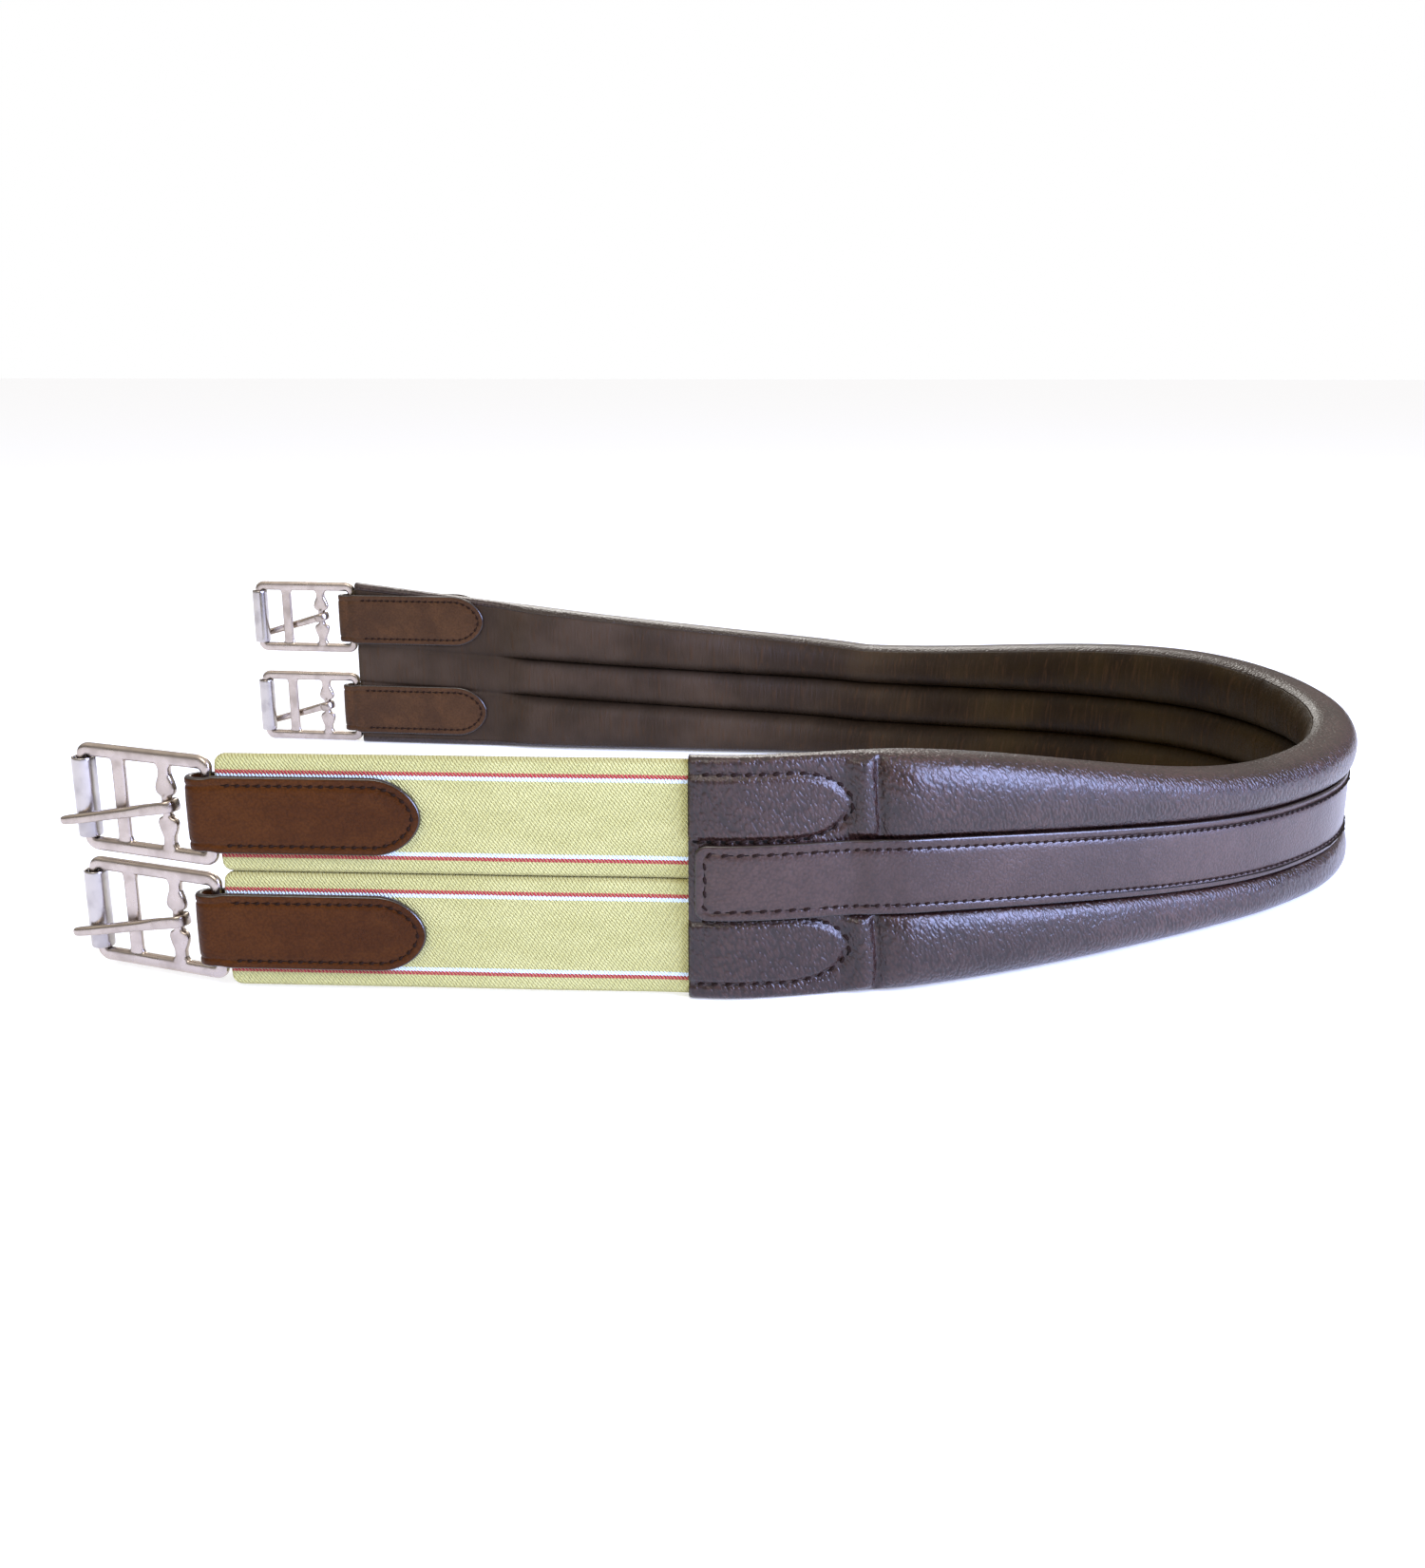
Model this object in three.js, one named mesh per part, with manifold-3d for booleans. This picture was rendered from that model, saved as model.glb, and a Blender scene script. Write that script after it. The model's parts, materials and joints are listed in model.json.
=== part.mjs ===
// A padded leather saddle girth, folded into a U and standing on its lower edge.
// One end carries two elastic bands, and both ends carry two roller buckles.
// Units are millimetres, +Z is up, and +X points from the buckles towards the bend.
import * as THREE from "three";
import { mergeVertices } from "three/addons/utils/BufferGeometryUtils.js";
import Module from "manifold-3d";

const wasm = await Module();
wasm.setup();

// ---------------------------------------------------------------- driving dimensions

// Plan of the girth's mid-line, from the free end of the elastics, round the bend, to the fixed end.
const ROUTE = [
  [0, 0],
  [183, 0],
  [218, 0],
  [297, 23],
  [386, 70],
  [467, 127],
  [502, 167],
  [515, 210],
  [507, 255],
  [482, 295],
  [445, 326],
  [359, 374],
  [267, 408],
  [182, 414],
  [92, 417],
  [62, 419],
  [-57, 427],
];

// Places along the mid-line, measured from the free end of the elastics.
const LEATHER_START = 194; // edge of the leather over the elastics
const TAIL_END = 252; // hidden end of the elastics inside the leather
const PAD_START = 256; // where the padding begins to rise
const SHOULDER = 30; // length over which the padding rises or falls
const FIRST_WAIST = 495;
const MIDDLE = 710;
const SECOND_WAIST = 925;
const FIXED_END_FLAT = 92; // length of the thin end that the fixed buckles are sewn to

// Widths of the belt, which is its height above the floor as it stands.
const END_WIDTH = 104;
const FIRST_WAIST_WIDTH = 73;
const MIDDLE_WIDTH = 89;
const SECOND_WAIST_WIDTH = 71;
const FIXED_END_WIDTH = 109;

// Thickness either side of the mid-line.
const FLAT_HALF = 4.2; // thin ends
const ROLL_OUTER = 13.5; // crown of the rolls on the outer face
const ROLL_INNER = 12.5; // crown of the rolls on the inner face
const CORE_INNER = 9; // crown of the narrow middle roll on the inner face
const STRAP_BED = 8; // outer face under the centre strap
const GROOVE = 4; // inner face in the two stitched grooves
const EDGE_HALF = 1.6; // half of the flat along the upper and lower edges
const EDGE_ROUND = 3; // rounding of the thin ends' edges
const LEAN = 0.26; // outward lean of the upper edge after the bend, per mm of height
const LEAN_PLACE = 880;
const LEAN_SPREAD = 130;
const ROLL_FULLNESS = 0.8; // below 1 makes the rolls squarer than an ellipse

const COVER = 1.4; // outer leather
const LINING = 1.2; // inner leather
const WEB = 1.5; // inner webbing that carries the pull
const GAP = 0.3; // gap between pieces that touch
const SEAM = 0.8; // half of the stitched channel between the pads
const GROOVE_PITCH = 12.5; // height of each stitched groove from the middle
const WEB_HALF = 11.4;
const WEB_CLEAR = 2; // distance of the web's ends from the elastics and the stiffener

const STIFFENER_LENGTH = FIXED_END_FLAT - SHOULDER / 2;
const STIFFENER_MARGIN = 5; // distance from the belt's upper and lower edges
const STIFFENER_SHORT = 1; // distance from the belt's end

const STRAP_HALF = 16.2;
const STRAP = 2.6;
const STRAP_START = 197;
const STRAP_CORNER = 5;
const STRAP_SHORT = 93; // distance of the strap's end from the fixed end's edge
const STRAP_EDGE = 0.8;

const ELASTIC_WIDTH = 49.2;
const ELASTIC = 4.8;
const ELASTIC_PITCH = 25.3; // height of each band's middle from the belt's middle
const TAIL_NOSE = 22; // length of the tails' rounded ends
const ELASTIC_EDGE = 1.8;

const CHAPE = 3; // buckle leather
const CHAPE_WIDTH = 33;
const CHAPE_NOSE = 21; // length of its rounded end
const CHAPE_REACH = 13; // how far its fold stands out past the belt's end
const FOLD_HALF = 2.8; // half of the space for the bar in the fold
const NARROW_START = 0.6; // stretch past the belt's end where the legs close to the fold
const NARROW_END = 4;
const ELASTIC_LEG = 85;
const FIXED_LEG = 88;
const BUCKLE_PITCH = 25.3; // height of the elastic end's buckles from the belt's middle
const FIXED_PITCH = 30.7; // the same at the fixed end

const BUCKLE_LENGTH = 69;
const BUCKLE_WIDTH = 47.6;
const BUCKLE_THICK = 4;
const RAIL = 6;
const BUCKLE_CORNER = 5;
const END_BAR = 2.5; // place of the bar in the fold, from the buckle's end
const TONGUE_BAR = 24;
const KEEPER_BAR = 44.5;
const KEEPER_WIDTH = 6.5;
const KEEPER_THICK = 3;
const ROLLER_BAR = 66.5;
const BAR_RADIUS = 2.2;
const NECK_HALF = 4.6; // half of the round neck that the tongue turns on
const NECK_JOIN = 1; // how far the neck runs into the bar's petals
// Half-widths of the vase-shaped bar at heights above its neck.
const PETAL = [
  [18.5, 4.4],
  [16.2, 2.9],
  [13.5, 2.8],
  [10.5, 4.3],
  [7.5, 5.2],
  [5.4, 4.4],
  [4.6, 2.2],
];
const ROLLER_RADIUS = 5;
const ROLLER_BORE = 2.6;
const ROLLER_LENGTH = 34.8;
const BAR_PLACE = 4.1; // distance of the bar in the fold from the belt's end

const TONGUE_LENGTH = 52;
const TONGUE_LOOP = 5;
const TONGUE_BORE = 3.2;
const TONGUE_HALF = 2.5;
// Half-widths and lift of the tongue's shank at places from its pivot.
const SHANK = [
  [3.4, 2.4, 2.0, 2.4],
  [20, 2.3, 2.0, 4.8],
  [42, 2.1, 1.8, 7.4],
  [49, 1.7, 1.5, 7.6],
  [TONGUE_LENGTH, 0.9, 0.8, 7.2],
];

// How the loose pieces lie, in degrees.
const ELASTIC_SWIVEL = -18.6; // buckles of the elastic end swing inwards
const ELASTIC_DROOP = 11;
const FIXED_DROOP = 17;

const BEND_START = 480; // the bend and the elastics' tails take shorter steps
const BEND_END = 720;
const BEND_STEP = 18;
const STATION_STEP = 32;
const SHOULDER_STEP = 7.5;
const STATION_GAP = 1; // least distance of a shared place from a piece's own end
const ROLL_STEPS = 5; // steps round each roll
const CORE_STEPS = 3;
const ROUND_STEPS = 16;
const SHANK_SIDES = 10;
const FOLD_SEGMENTS = 6; // segments of each arc of the buckle leathers' folds
const NOSE_SEGMENTS = 8; // the same on their rounded ends
const PLATE_SEGMENTS = 3; // the same on the buckles' flat pieces
const CUT_MARGIN = 2; // how far a cutter stands clear of what it cuts
// Parts of the way round a corner of the strap, and along the nose of an elastic's tail.
const CORNER_SHARES = [0, 0.1, 0.3, 0.6];
const NOSE_SHARES = [0, 0.3, 0.55, 0.75, 0.9, 0.97];

// ---------------------------------------------------------------- materials

const leather = (color) => new THREE.MeshStandardMaterial({ color, roughness: 0.55, metalness: 0 });
const steel = (color) => new THREE.MeshStandardMaterial({ color, roughness: 0.3, metalness: 1 });
const soft = (color) => new THREE.MeshStandardMaterial({ color, roughness: 0.95, metalness: 0 });

const GRAINED_LEATHER = leather("#4b3f42");
const LINING_LEATHER = leather("#3a2f2a");
const STRAP_LEATHER = leather("#4d4248");
const CHAPE_LEATHER = leather("#563623");
const CREAM_ELASTIC = soft("#dbdfaa");
const FOAM = soft("#e6dfc8");
const WEBBING = soft("#cfc8b4");
const FRAME_STEEL = steel("#cdc0b7");
const ROLLER_STEEL = steel("#d8d2cc");
const TONGUE_STEEL = steel("#a4a3a1");

// ---------------------------------------------------------------- helpers

const { clamp, degToRad, smoothstep, lerp } = THREE.MathUtils;

const route = new THREE.CatmullRomCurve3(
  ROUTE.map(([x, y]) => new THREE.Vector3(x, y, 0)),
  false,
  "centripetal",
);
route.arcLengthDivisions = 2000;
const LENGTH = route.getLength();
const PAD_END = LENGTH - FIXED_END_FLAT;

const girth = new THREE.Group();

function addMesh(parent, name, geometry, material) {
  const mesh = new THREE.Mesh(geometry, material);
  mesh.name = name;
  parent.add(mesh);
  return mesh;
}

// A closed geometry as a solid that can be joined or cut.
function solid(geometry) {
  geometry.deleteAttribute("normal");
  geometry.deleteAttribute("uv");
  const merged = mergeVertices(geometry, 1e-4);
  return new wasm.Manifold(
    new wasm.Mesh({
      numProp: 3,
      vertProperties: new Float32Array(merged.attributes.position.array),
      triVerts: new Uint32Array(merged.index.array),
    }),
  );
}

// A joined or cut solid as a geometry again.
function geometryOf(manifold) {
  const mesh = manifold.getMesh();
  const geometry = new THREE.BufferGeometry();
  geometry.setAttribute("position", new THREE.BufferAttribute(mesh.vertProperties, 3));
  geometry.setIndex(new THREE.BufferAttribute(mesh.triVerts, 1));
  geometry.computeVertexNormals();
  return geometry;
}

// Skins equal rings of points, each running counter-clockwise seen from the first ring's end.
// A shell's ring runs along its outside and back along its inside, point for point.
function loft(rings, isShell) {
  const count = rings[0].length;
  const index = [];
  for (let ring = 0; ring < rings.length - 1; ring++) {
    for (let i = 0; i < count; i++) {
      const a = ring * count + i;
      const b = ring * count + ((i + 1) % count);
      // A shell's inside is split along the same diagonals as its outside.
      if (isShell && i >= count / 2) index.push(a, a + count, b, b, a + count, b + count);
      else index.push(a, b + count, b, a, a + count, b + count);
    }
  }
  const points = rings.flat();
  const last = points.length - count;
  if (isShell) {
    for (let i = 0; i < count / 2 - 1; i++) {
      const facing = count - 1 - i;
      index.push(i, i + 1, facing - 1, i, facing - 1, facing);
      index.push(last + i, last + facing - 1, last + i + 1, last + i, last + facing, last + facing - 1);
    }
  } else {
    const middles = [rings[0], rings.at(-1)].map((ring) =>
      ring.reduce((sum, point) => sum.add(point), new THREE.Vector3()).divideScalar(count),
    );
    const first = points.push(...middles) - 2;
    for (let i = 0; i < count; i++) {
      const next = (i + 1) % count;
      index.push(first, i, next, first + 1, last + next, last + i);
    }
  }
  const geometry = new THREE.BufferGeometry().setFromPoints(points);
  geometry.setIndex(index);
  geometry.computeVertexNormals();
  return geometry;
}

// ---------------------------------------------------------------- the belt's own frame

// Height of the belt's upper edge. It widens evenly from the second waist to the fixed end.
function heightAt(s) {
  if (s < FIRST_WAIST) return lerp(END_WIDTH, FIRST_WAIST_WIDTH, smoothstep(s, PAD_START, FIRST_WAIST));
  if (s < MIDDLE) return lerp(FIRST_WAIST_WIDTH, MIDDLE_WIDTH, smoothstep(s, FIRST_WAIST, MIDDLE));
  if (s < SECOND_WAIST) return lerp(MIDDLE_WIDTH, SECOND_WAIST_WIDTH, smoothstep(s, MIDDLE, SECOND_WAIST));
  return lerp(SECOND_WAIST_WIDTH, FIXED_END_WIDTH, (s - SECOND_WAIST) / (LENGTH - SECOND_WAIST));
}

// 0 on the thin ends and 1 where the padding is full.
const paddingAt = (s) =>
  smoothstep(s, PAD_START, PAD_START + SHOULDER) * (1 - smoothstep(s, PAD_END - SHOULDER, PAD_END));

const leanAt = (s) => LEAN * Math.exp(-(((s - LEAN_PLACE) / LEAN_SPREAD) ** 2));

// A point of the belt: along its mid-line, outward from it, and above the floor.
function beltPoint(s, outward, height) {
  const u = clamp(s / LENGTH, 0, 1);
  const point = route.getPointAt(u);
  const along = route.getTangentAt(u);
  const out = outward + leanAt(s) * height;
  return new THREE.Vector3(point.x + along.y * out, point.y - along.x * out, height);
}

// Even steps from one place to the next, without the last.
const steps = (from, to, step) => {
  const count = Math.ceil((to - from) / step);
  return Array.from({ length: count }, (_, i) => lerp(from, to, i / count));
};

// Places of the rings that every long piece shares, so that their facets stay parallel.
const PLACES = [
  ...steps(LEATHER_START, PAD_START, BEND_STEP),
  ...steps(PAD_START, PAD_START + SHOULDER, SHOULDER_STEP),
  ...steps(PAD_START + SHOULDER, BEND_START, STATION_STEP),
  ...steps(BEND_START, BEND_END, BEND_STEP),
  ...steps(BEND_END, PAD_END - SHOULDER, STATION_STEP),
  ...steps(PAD_END - SHOULDER, PAD_END, SHOULDER_STEP),
  ...steps(PAD_END, LENGTH, STATION_STEP),
];

const stations = (from, to) => {
  const between = PLACES.filter((s) => s > from + STATION_GAP && s < to - STATION_GAP);
  return [from, ...between, to];
};

// Sweeps an outline along the belt. The outline is [outward, height] pairs, counter-clockwise.
// A flat band counts as a shell, with its outer face as the outside.
function sweepBelt(places, outlineAt, isShell = false) {
  const rings = places.map((s) => outlineAt(s).map(([o, h]) => beltPoint(s, o, h)));
  return loft(rings, isShell);
}

// ---------------------------------------------------------------- the belt's skin

// One side of a roll, from its stitched side to the belt's edge or to its other stitched side.
function rollSide(s, low, high, bed, crown, edge, count) {
  const padding = paddingAt(s);
  const half = heightAt(s) / 2;
  return Array.from({ length: count + 1 }, (_, i) => {
    const angle = (Math.PI * i) / count;
    const q = lerp(low, high, (1 - Math.cos(angle)) / 2);
    const from = angle < Math.PI / 2 ? bed : edge;
    const padded = from + (crown - from) * Math.sin(angle) ** ROLL_FULLNESS;
    const round = clamp((q - (half - EDGE_ROUND)) / EDGE_ROUND, 0, 1);
    const thin = EDGE_HALF + (FLAT_HALF - EDGE_HALF) * Math.sqrt(1 - round ** 2);
    return [lerp(thin, padded, padding), q];
  });
}

// Outer side of the upper half, from the strap's edge up, and the inner side's two stretches.
const outerRoll = (s) =>
  rollSide(s, STRAP_HALF + SEAM, heightAt(s) / 2, STRAP_BED, ROLL_OUTER, EDGE_HALF, ROLL_STEPS);
const innerRoll = (s) =>
  rollSide(s, GROOVE_PITCH, heightAt(s) / 2, GROOVE, ROLL_INNER, EDGE_HALF, ROLL_STEPS);
const innerCore = (s) =>
  rollSide(s, -GROOVE_PITCH, GROOVE_PITCH, GROOVE, CORE_INNER, GROOVE, CORE_STEPS);

const flipHeight = (points) => points.map(([o, q]) => [o, -q]).reverse();
const flipSide = (points) => points.map(([o, q]) => [-o, q]).reverse();

// The whole skin from the lower edge up the outer face and down the inner face.
function skin(s) {
  const middle = heightAt(s) / 2;
  const outer = outerRoll(s);
  const inner = flipSide(innerRoll(s));
  const core = flipSide(innerCore(s)).slice(1, -1);
  const loop = [...flipHeight(outer), ...outer, ...inner, ...core, ...flipHeight(inner)];
  return loop.map(([o, q]) => [o, q + middle]);
}

// The same skin moved inwards by a leather's thickness.
function insetSkin(s, depth) {
  const loop = skin(s);
  return loop.map(([o, h], i) => {
    const [o0, h0] = loop.at(i - 1);
    const [o1, h1] = loop[(i + 1) % loop.length];
    const size = Math.hypot(o1 - o0, h1 - h0);
    return [o - (depth * (h1 - h0)) / size, h + (depth * (o1 - o0)) / size];
  });
}

const OUTER_COUNT = 2 * (ROLL_STEPS + 1);
const LINING_COUNT = 2 * (ROLL_STEPS + 1) + CORE_STEPS - 1;
const WRAP = 2; // skin points by which the cover turns over onto the inner face

// The skin's points in order, starting part-way down the inner face of the lower roll.
const coverRun = (loop) => {
  const turned = loop.slice(-WRAP - 1);
  return [...turned, ...loop.slice(0, OUTER_COUNT + WRAP + 1)];
};
const liningRun = (loop) => loop.slice(OUTER_COUNT + WRAP, OUTER_COUNT + LINING_COUNT - WRAP);

// Moves the two ends of a run of points along the run, to leave a seam.
function trimEnds(points, amount) {
  const cut = (end, next) => {
    const share = amount / Math.hypot(next[0] - end[0], next[1] - end[1]);
    return [lerp(end[0], next[0], share), lerp(end[1], next[1], share)];
  };
  return [cut(points[0], points[1]), ...points.slice(1, -1), cut(points.at(-1), points.at(-2))];
}

function coverOutline(s) {
  const outside = trimEnds(coverRun(skin(s)), GAP);
  const inside = trimEnds(coverRun(insetSkin(s, COVER)), GAP);
  return [...outside, ...inside.reverse()];
}

function liningOutline(s) {
  const outside = trimEnds(liningRun(skin(s)), GAP);
  const inside = trimEnds(liningRun(insetSkin(s, LINING)), GAP);
  return [...outside, ...inside.reverse()];
}

const leatherStations = stations(LEATHER_START, LENGTH);
addMesh(girth, "outer_cover", sweepBelt(leatherStations, coverOutline, true), GRAINED_LEATHER);
addMesh(girth, "inner_lining", sweepBelt(leatherStations, liningOutline, true), LINING_LEATHER);

// ---------------------------------------------------------------- padding and web inside

const PAD_DEPTH = COVER + GAP;
const padStations = stations(PAD_START + SHOULDER / 2, PAD_END - SHOULDER / 2);

// The outer face under the strap, from the mid-line.
const bedAt = (s) => lerp(FLAT_HALF, STRAP_BED, paddingAt(s));
const grooveAt = (s) => lerp(FLAT_HALF, GROOVE, paddingAt(s));

function upperPadOutline(s) {
  const loop = insetSkin(s, PAD_DEPTH);
  const foot = heightAt(s) / 2 + GROOVE_PITCH + SEAM;
  const roll = loop.slice(ROLL_STEPS + 1, OUTER_COUNT + ROLL_STEPS);
  return [[GAP - grooveAt(s) + PAD_DEPTH, foot], [bedAt(s) - PAD_DEPTH, foot], ...roll];
}

function lowerPadOutline(s) {
  const width = heightAt(s);
  return upperPadOutline(s)
    .map(([o, h]) => [o, width - h])
    .reverse();
}

const webOuter = (s) => bedAt(s) - COVER - GAP;

function corePadOutline(s) {
  const middle = heightAt(s) / 2;
  const half = GROOVE_PITCH - SEAM;
  const front = webOuter(s) - WEB - GAP;
  const back = grooveAt(s) - LINING - GAP;
  const first = OUTER_COUNT + ROLL_STEPS + 1;
  const crown = insetSkin(s, LINING + GAP).slice(first, first + CORE_STEPS - 1);
  return [
    [front, middle - half],
    [front, middle + half],
    [-back, middle + half],
    ...crown,
    [-back, middle - half],
  ];
}

function webOutline(s) {
  const middle = heightAt(s) / 2;
  const outer = webOuter(s);
  return [
    [outer, middle - WEB_HALF],
    [outer, middle + WEB_HALF],
    [outer - WEB, middle + WEB_HALF],
    [outer - WEB, middle - WEB_HALF],
  ];
}

addMesh(girth, "foam_roll_upper", sweepBelt(padStations, upperPadOutline), FOAM);
addMesh(girth, "foam_roll_lower", sweepBelt(padStations, lowerPadOutline), FOAM);
addMesh(girth, "foam_core", sweepBelt(padStations, corePadOutline), FOAM);

const webStations = stations(TAIL_END + WEB_CLEAR, LENGTH - STIFFENER_LENGTH - WEB_CLEAR);
addMesh(girth, "tension_web", sweepBelt(webStations, webOutline, true), WEBBING);

// A flat leather board between cover and lining, which the fixed end's buckles are sewn through.
function stiffenerOutline(s) {
  const half = FLAT_HALF - COVER - GAP;
  const high = heightAt(s) - STIFFENER_MARGIN;
  return [
    [half, STIFFENER_MARGIN],
    [half, high],
    [-half, high],
    [-half, STIFFENER_MARGIN],
  ];
}
const stiffenerStations = stations(LENGTH - STIFFENER_LENGTH, LENGTH - STIFFENER_SHORT);
addMesh(girth, "end_stiffener", sweepBelt(stiffenerStations, stiffenerOutline, true), CHAPE_LEATHER);

// ---------------------------------------------------------------- centre strap

// A flat band's outline with its four corners taken off.
function bandOutline(inner, outer, middle, half, edge) {
  return [
    [outer - edge, middle - half],
    [outer, middle - half + edge],
    [outer, middle + half - edge],
    [outer - edge, middle + half],
    [inner + edge, middle + half],
    [inner, middle + half - edge],
    [inner, middle - half + edge],
    [inner + edge, middle - half],
  ];
}

const STRAP_END = LENGTH - STRAP_SHORT;

// Half-height of the strap, with the corners rounded at both ends.
function strapHalf(s) {
  const into = clamp(Math.min(s - STRAP_START, STRAP_END - s) / STRAP_CORNER, 0, 1);
  return STRAP_HALF - STRAP_CORNER * (1 - Math.sqrt(1 - (1 - into) ** 2));
}

function strapOutline(s) {
  const inner = bedAt(s) + GAP;
  return bandOutline(inner, inner + STRAP, heightAt(s) / 2, strapHalf(s), STRAP_EDGE);
}

const cornerSteps = CORNER_SHARES.map((part) => part * STRAP_CORNER);
const strapStations = [
  ...cornerSteps.map((step) => STRAP_START + step),
  ...stations(STRAP_START + STRAP_CORNER, STRAP_END - STRAP_CORNER),
  ...cornerSteps.map((step) => STRAP_END - step).reverse(),
];
addMesh(girth, "centre_strap", sweepBelt(strapStations, strapOutline, true), STRAP_LEATHER);

// ---------------------------------------------------------------- elastic bands

function elasticOutlineAt(middle) {
  return (s) => {
    const nose = clamp((s - TAIL_END + TAIL_NOSE) / TAIL_NOSE, 0, 1);
    const half = Math.max((ELASTIC_WIDTH / 2) * Math.sqrt(1 - nose ** 2), ELASTIC_EDGE * 2);
    return bandOutline(-ELASTIC / 2, ELASTIC / 2, middle, half, ELASTIC_EDGE);
  };
}

const nosePlaces = NOSE_SHARES.map((part) => TAIL_END - TAIL_NOSE * (1 - part));
const elasticStations = [0, ...stations(LEATHER_START, TAIL_END), ...nosePlaces].sort((a, b) => a - b);
const LEVELS = { upper: 1, lower: -1 };
for (const [level, sign] of Object.entries(LEVELS)) {
  const middle = END_WIDTH / 2 + sign * ELASTIC_PITCH;
  const geometry = sweepBelt(elasticStations, elasticOutlineAt(middle), true);
  addMesh(girth, "elastic_" + level, geometry, CREAM_ELASTIC);
}

// ---------------------------------------------------------------- buckle leathers

// Local axes of an end: x away from the belt, y towards its outer face, z across it.
// The leather is a strip folded round the buckle's bar, with a leg on each face of the belt.
function chapeGeometry(leg, legHalf) {
  const fold = CHAPE_REACH - FOLD_HALF - CHAPE;
  const profile = new THREE.Shape();
  profile.moveTo(-leg, legHalf + CHAPE);
  profile.lineTo(-leg, legHalf);
  profile.lineTo(NARROW_START, legHalf);
  profile.lineTo(NARROW_END, FOLD_HALF);
  profile.absarc(fold, 0, FOLD_HALF, Math.PI / 2, -Math.PI / 2, true);
  profile.lineTo(NARROW_END, -FOLD_HALF);
  profile.lineTo(NARROW_START, -legHalf);
  profile.lineTo(-leg, -legHalf);
  profile.lineTo(-leg, -legHalf - CHAPE);
  profile.lineTo(NARROW_START, -legHalf - CHAPE);
  profile.lineTo(NARROW_END, -FOLD_HALF - CHAPE);
  profile.absarc(fold, 0, FOLD_HALF + CHAPE, -Math.PI / 2, Math.PI / 2, false);
  profile.lineTo(NARROW_END, FOLD_HALF + CHAPE);
  profile.lineTo(NARROW_START, legHalf + CHAPE);
  const strip = new THREE.ExtrudeGeometry(profile, {
    depth: CHAPE_WIDTH,
    bevelEnabled: false,
    curveSegments: FOLD_SEGMENTS,
  });
  strip.translate(0, 0, -CHAPE_WIDTH / 2);

  const outline = new THREE.Shape();
  outline.moveTo(CHAPE_REACH + CUT_MARGIN, -CHAPE_WIDTH / 2);
  outline.lineTo(CHAPE_REACH + CUT_MARGIN, CHAPE_WIDTH / 2);
  outline.lineTo(CHAPE_NOSE - leg, CHAPE_WIDTH / 2);
  outline.absellipse(CHAPE_NOSE - leg, 0, CHAPE_NOSE, CHAPE_WIDTH / 2, Math.PI / 2, 1.5 * Math.PI, false);
  const depth = 2 * (legHalf + CHAPE + CUT_MARGIN);
  const options = { depth, bevelEnabled: false, curveSegments: NOSE_SEGMENTS };
  const cutter = new THREE.ExtrudeGeometry(outline, options);
  cutter.translate(0, 0, -depth / 2);
  cutter.rotateX(Math.PI / 2);
  return geometryOf(solid(strip).intersect(solid(cutter)));
}

// ---------------------------------------------------------------- buckles

// A round bar across the buckle at a place along it.
function bar(place, half) {
  const geometry = new THREE.CylinderGeometry(BAR_RADIUS, BAR_RADIUS, 2 * half, ROUND_STEPS);
  geometry.rotateX(Math.PI / 2);
  geometry.translate(place, 0, 0);
  return solid(geometry);
}

// A flat outline in x and z as a solid of the buckle's thickness.
function plate(shape) {
  const geometry = new THREE.ExtrudeGeometry(shape, {
    depth: BUCKLE_THICK,
    bevelEnabled: false,
    curveSegments: PLATE_SEGMENTS,
  });
  geometry.translate(0, 0, -BUCKLE_THICK / 2);
  geometry.rotateX(Math.PI / 2);
  return solid(geometry);
}

// One rail along the buckle, with its outer corners rounded.
function rail(sign) {
  const outer = BUCKLE_WIDTH / 2;
  const shape = new THREE.Shape();
  shape.moveTo(0, outer - RAIL);
  shape.lineTo(BUCKLE_LENGTH, outer - RAIL);
  shape.lineTo(BUCKLE_LENGTH, outer - BUCKLE_CORNER);
  shape.absarc(BUCKLE_LENGTH - BUCKLE_CORNER, outer - BUCKLE_CORNER, BUCKLE_CORNER, 0, Math.PI / 2, false);
  shape.absarc(BUCKLE_CORNER, outer - BUCKLE_CORNER, BUCKLE_CORNER, Math.PI / 2, Math.PI, false);
  const solidRail = plate(shape);
  return sign > 0 ? solidRail : solidRail.rotate([180, 0, 0]);
}

// One half of the vase-shaped bar that the tongue turns on.
function petal(sign) {
  const side = (mirror) => PETAL.map(([z, half]) => new THREE.Vector2(TONGUE_BAR + mirror * half, z));
  const shape = new THREE.Shape();
  const right = side(1);
  const left = side(-1).reverse();
  shape.moveTo(right[0].x, right[0].y);
  shape.splineThru(right.slice(1));
  shape.lineTo(left[0].x, left[0].y);
  shape.splineThru(left.slice(1));
  const solidPetal = plate(shape);
  return sign > 0 ? solidPetal : solidPetal.rotate([180, 0, 0]);
}

function keeper() {
  const geometry = new THREE.BoxGeometry(KEEPER_WIDTH, KEEPER_THICK, BUCKLE_WIDTH - RAIL);
  geometry.translate(KEEPER_BAR + KEEPER_WIDTH / 2, 0, 0);
  return solid(geometry);
}

function frameGeometry() {
  const reach = (BUCKLE_WIDTH - RAIL) / 2;
  const pieces = [
    rail(-1),
    petal(1),
    petal(-1),
    keeper(),
    bar(END_BAR, reach),
    bar(ROLLER_BAR, reach),
    bar(TONGUE_BAR, NECK_HALF + NECK_JOIN),
  ];
  return geometryOf(pieces.reduce((joined, piece) => joined.add(piece), rail(1)));
}

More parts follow.
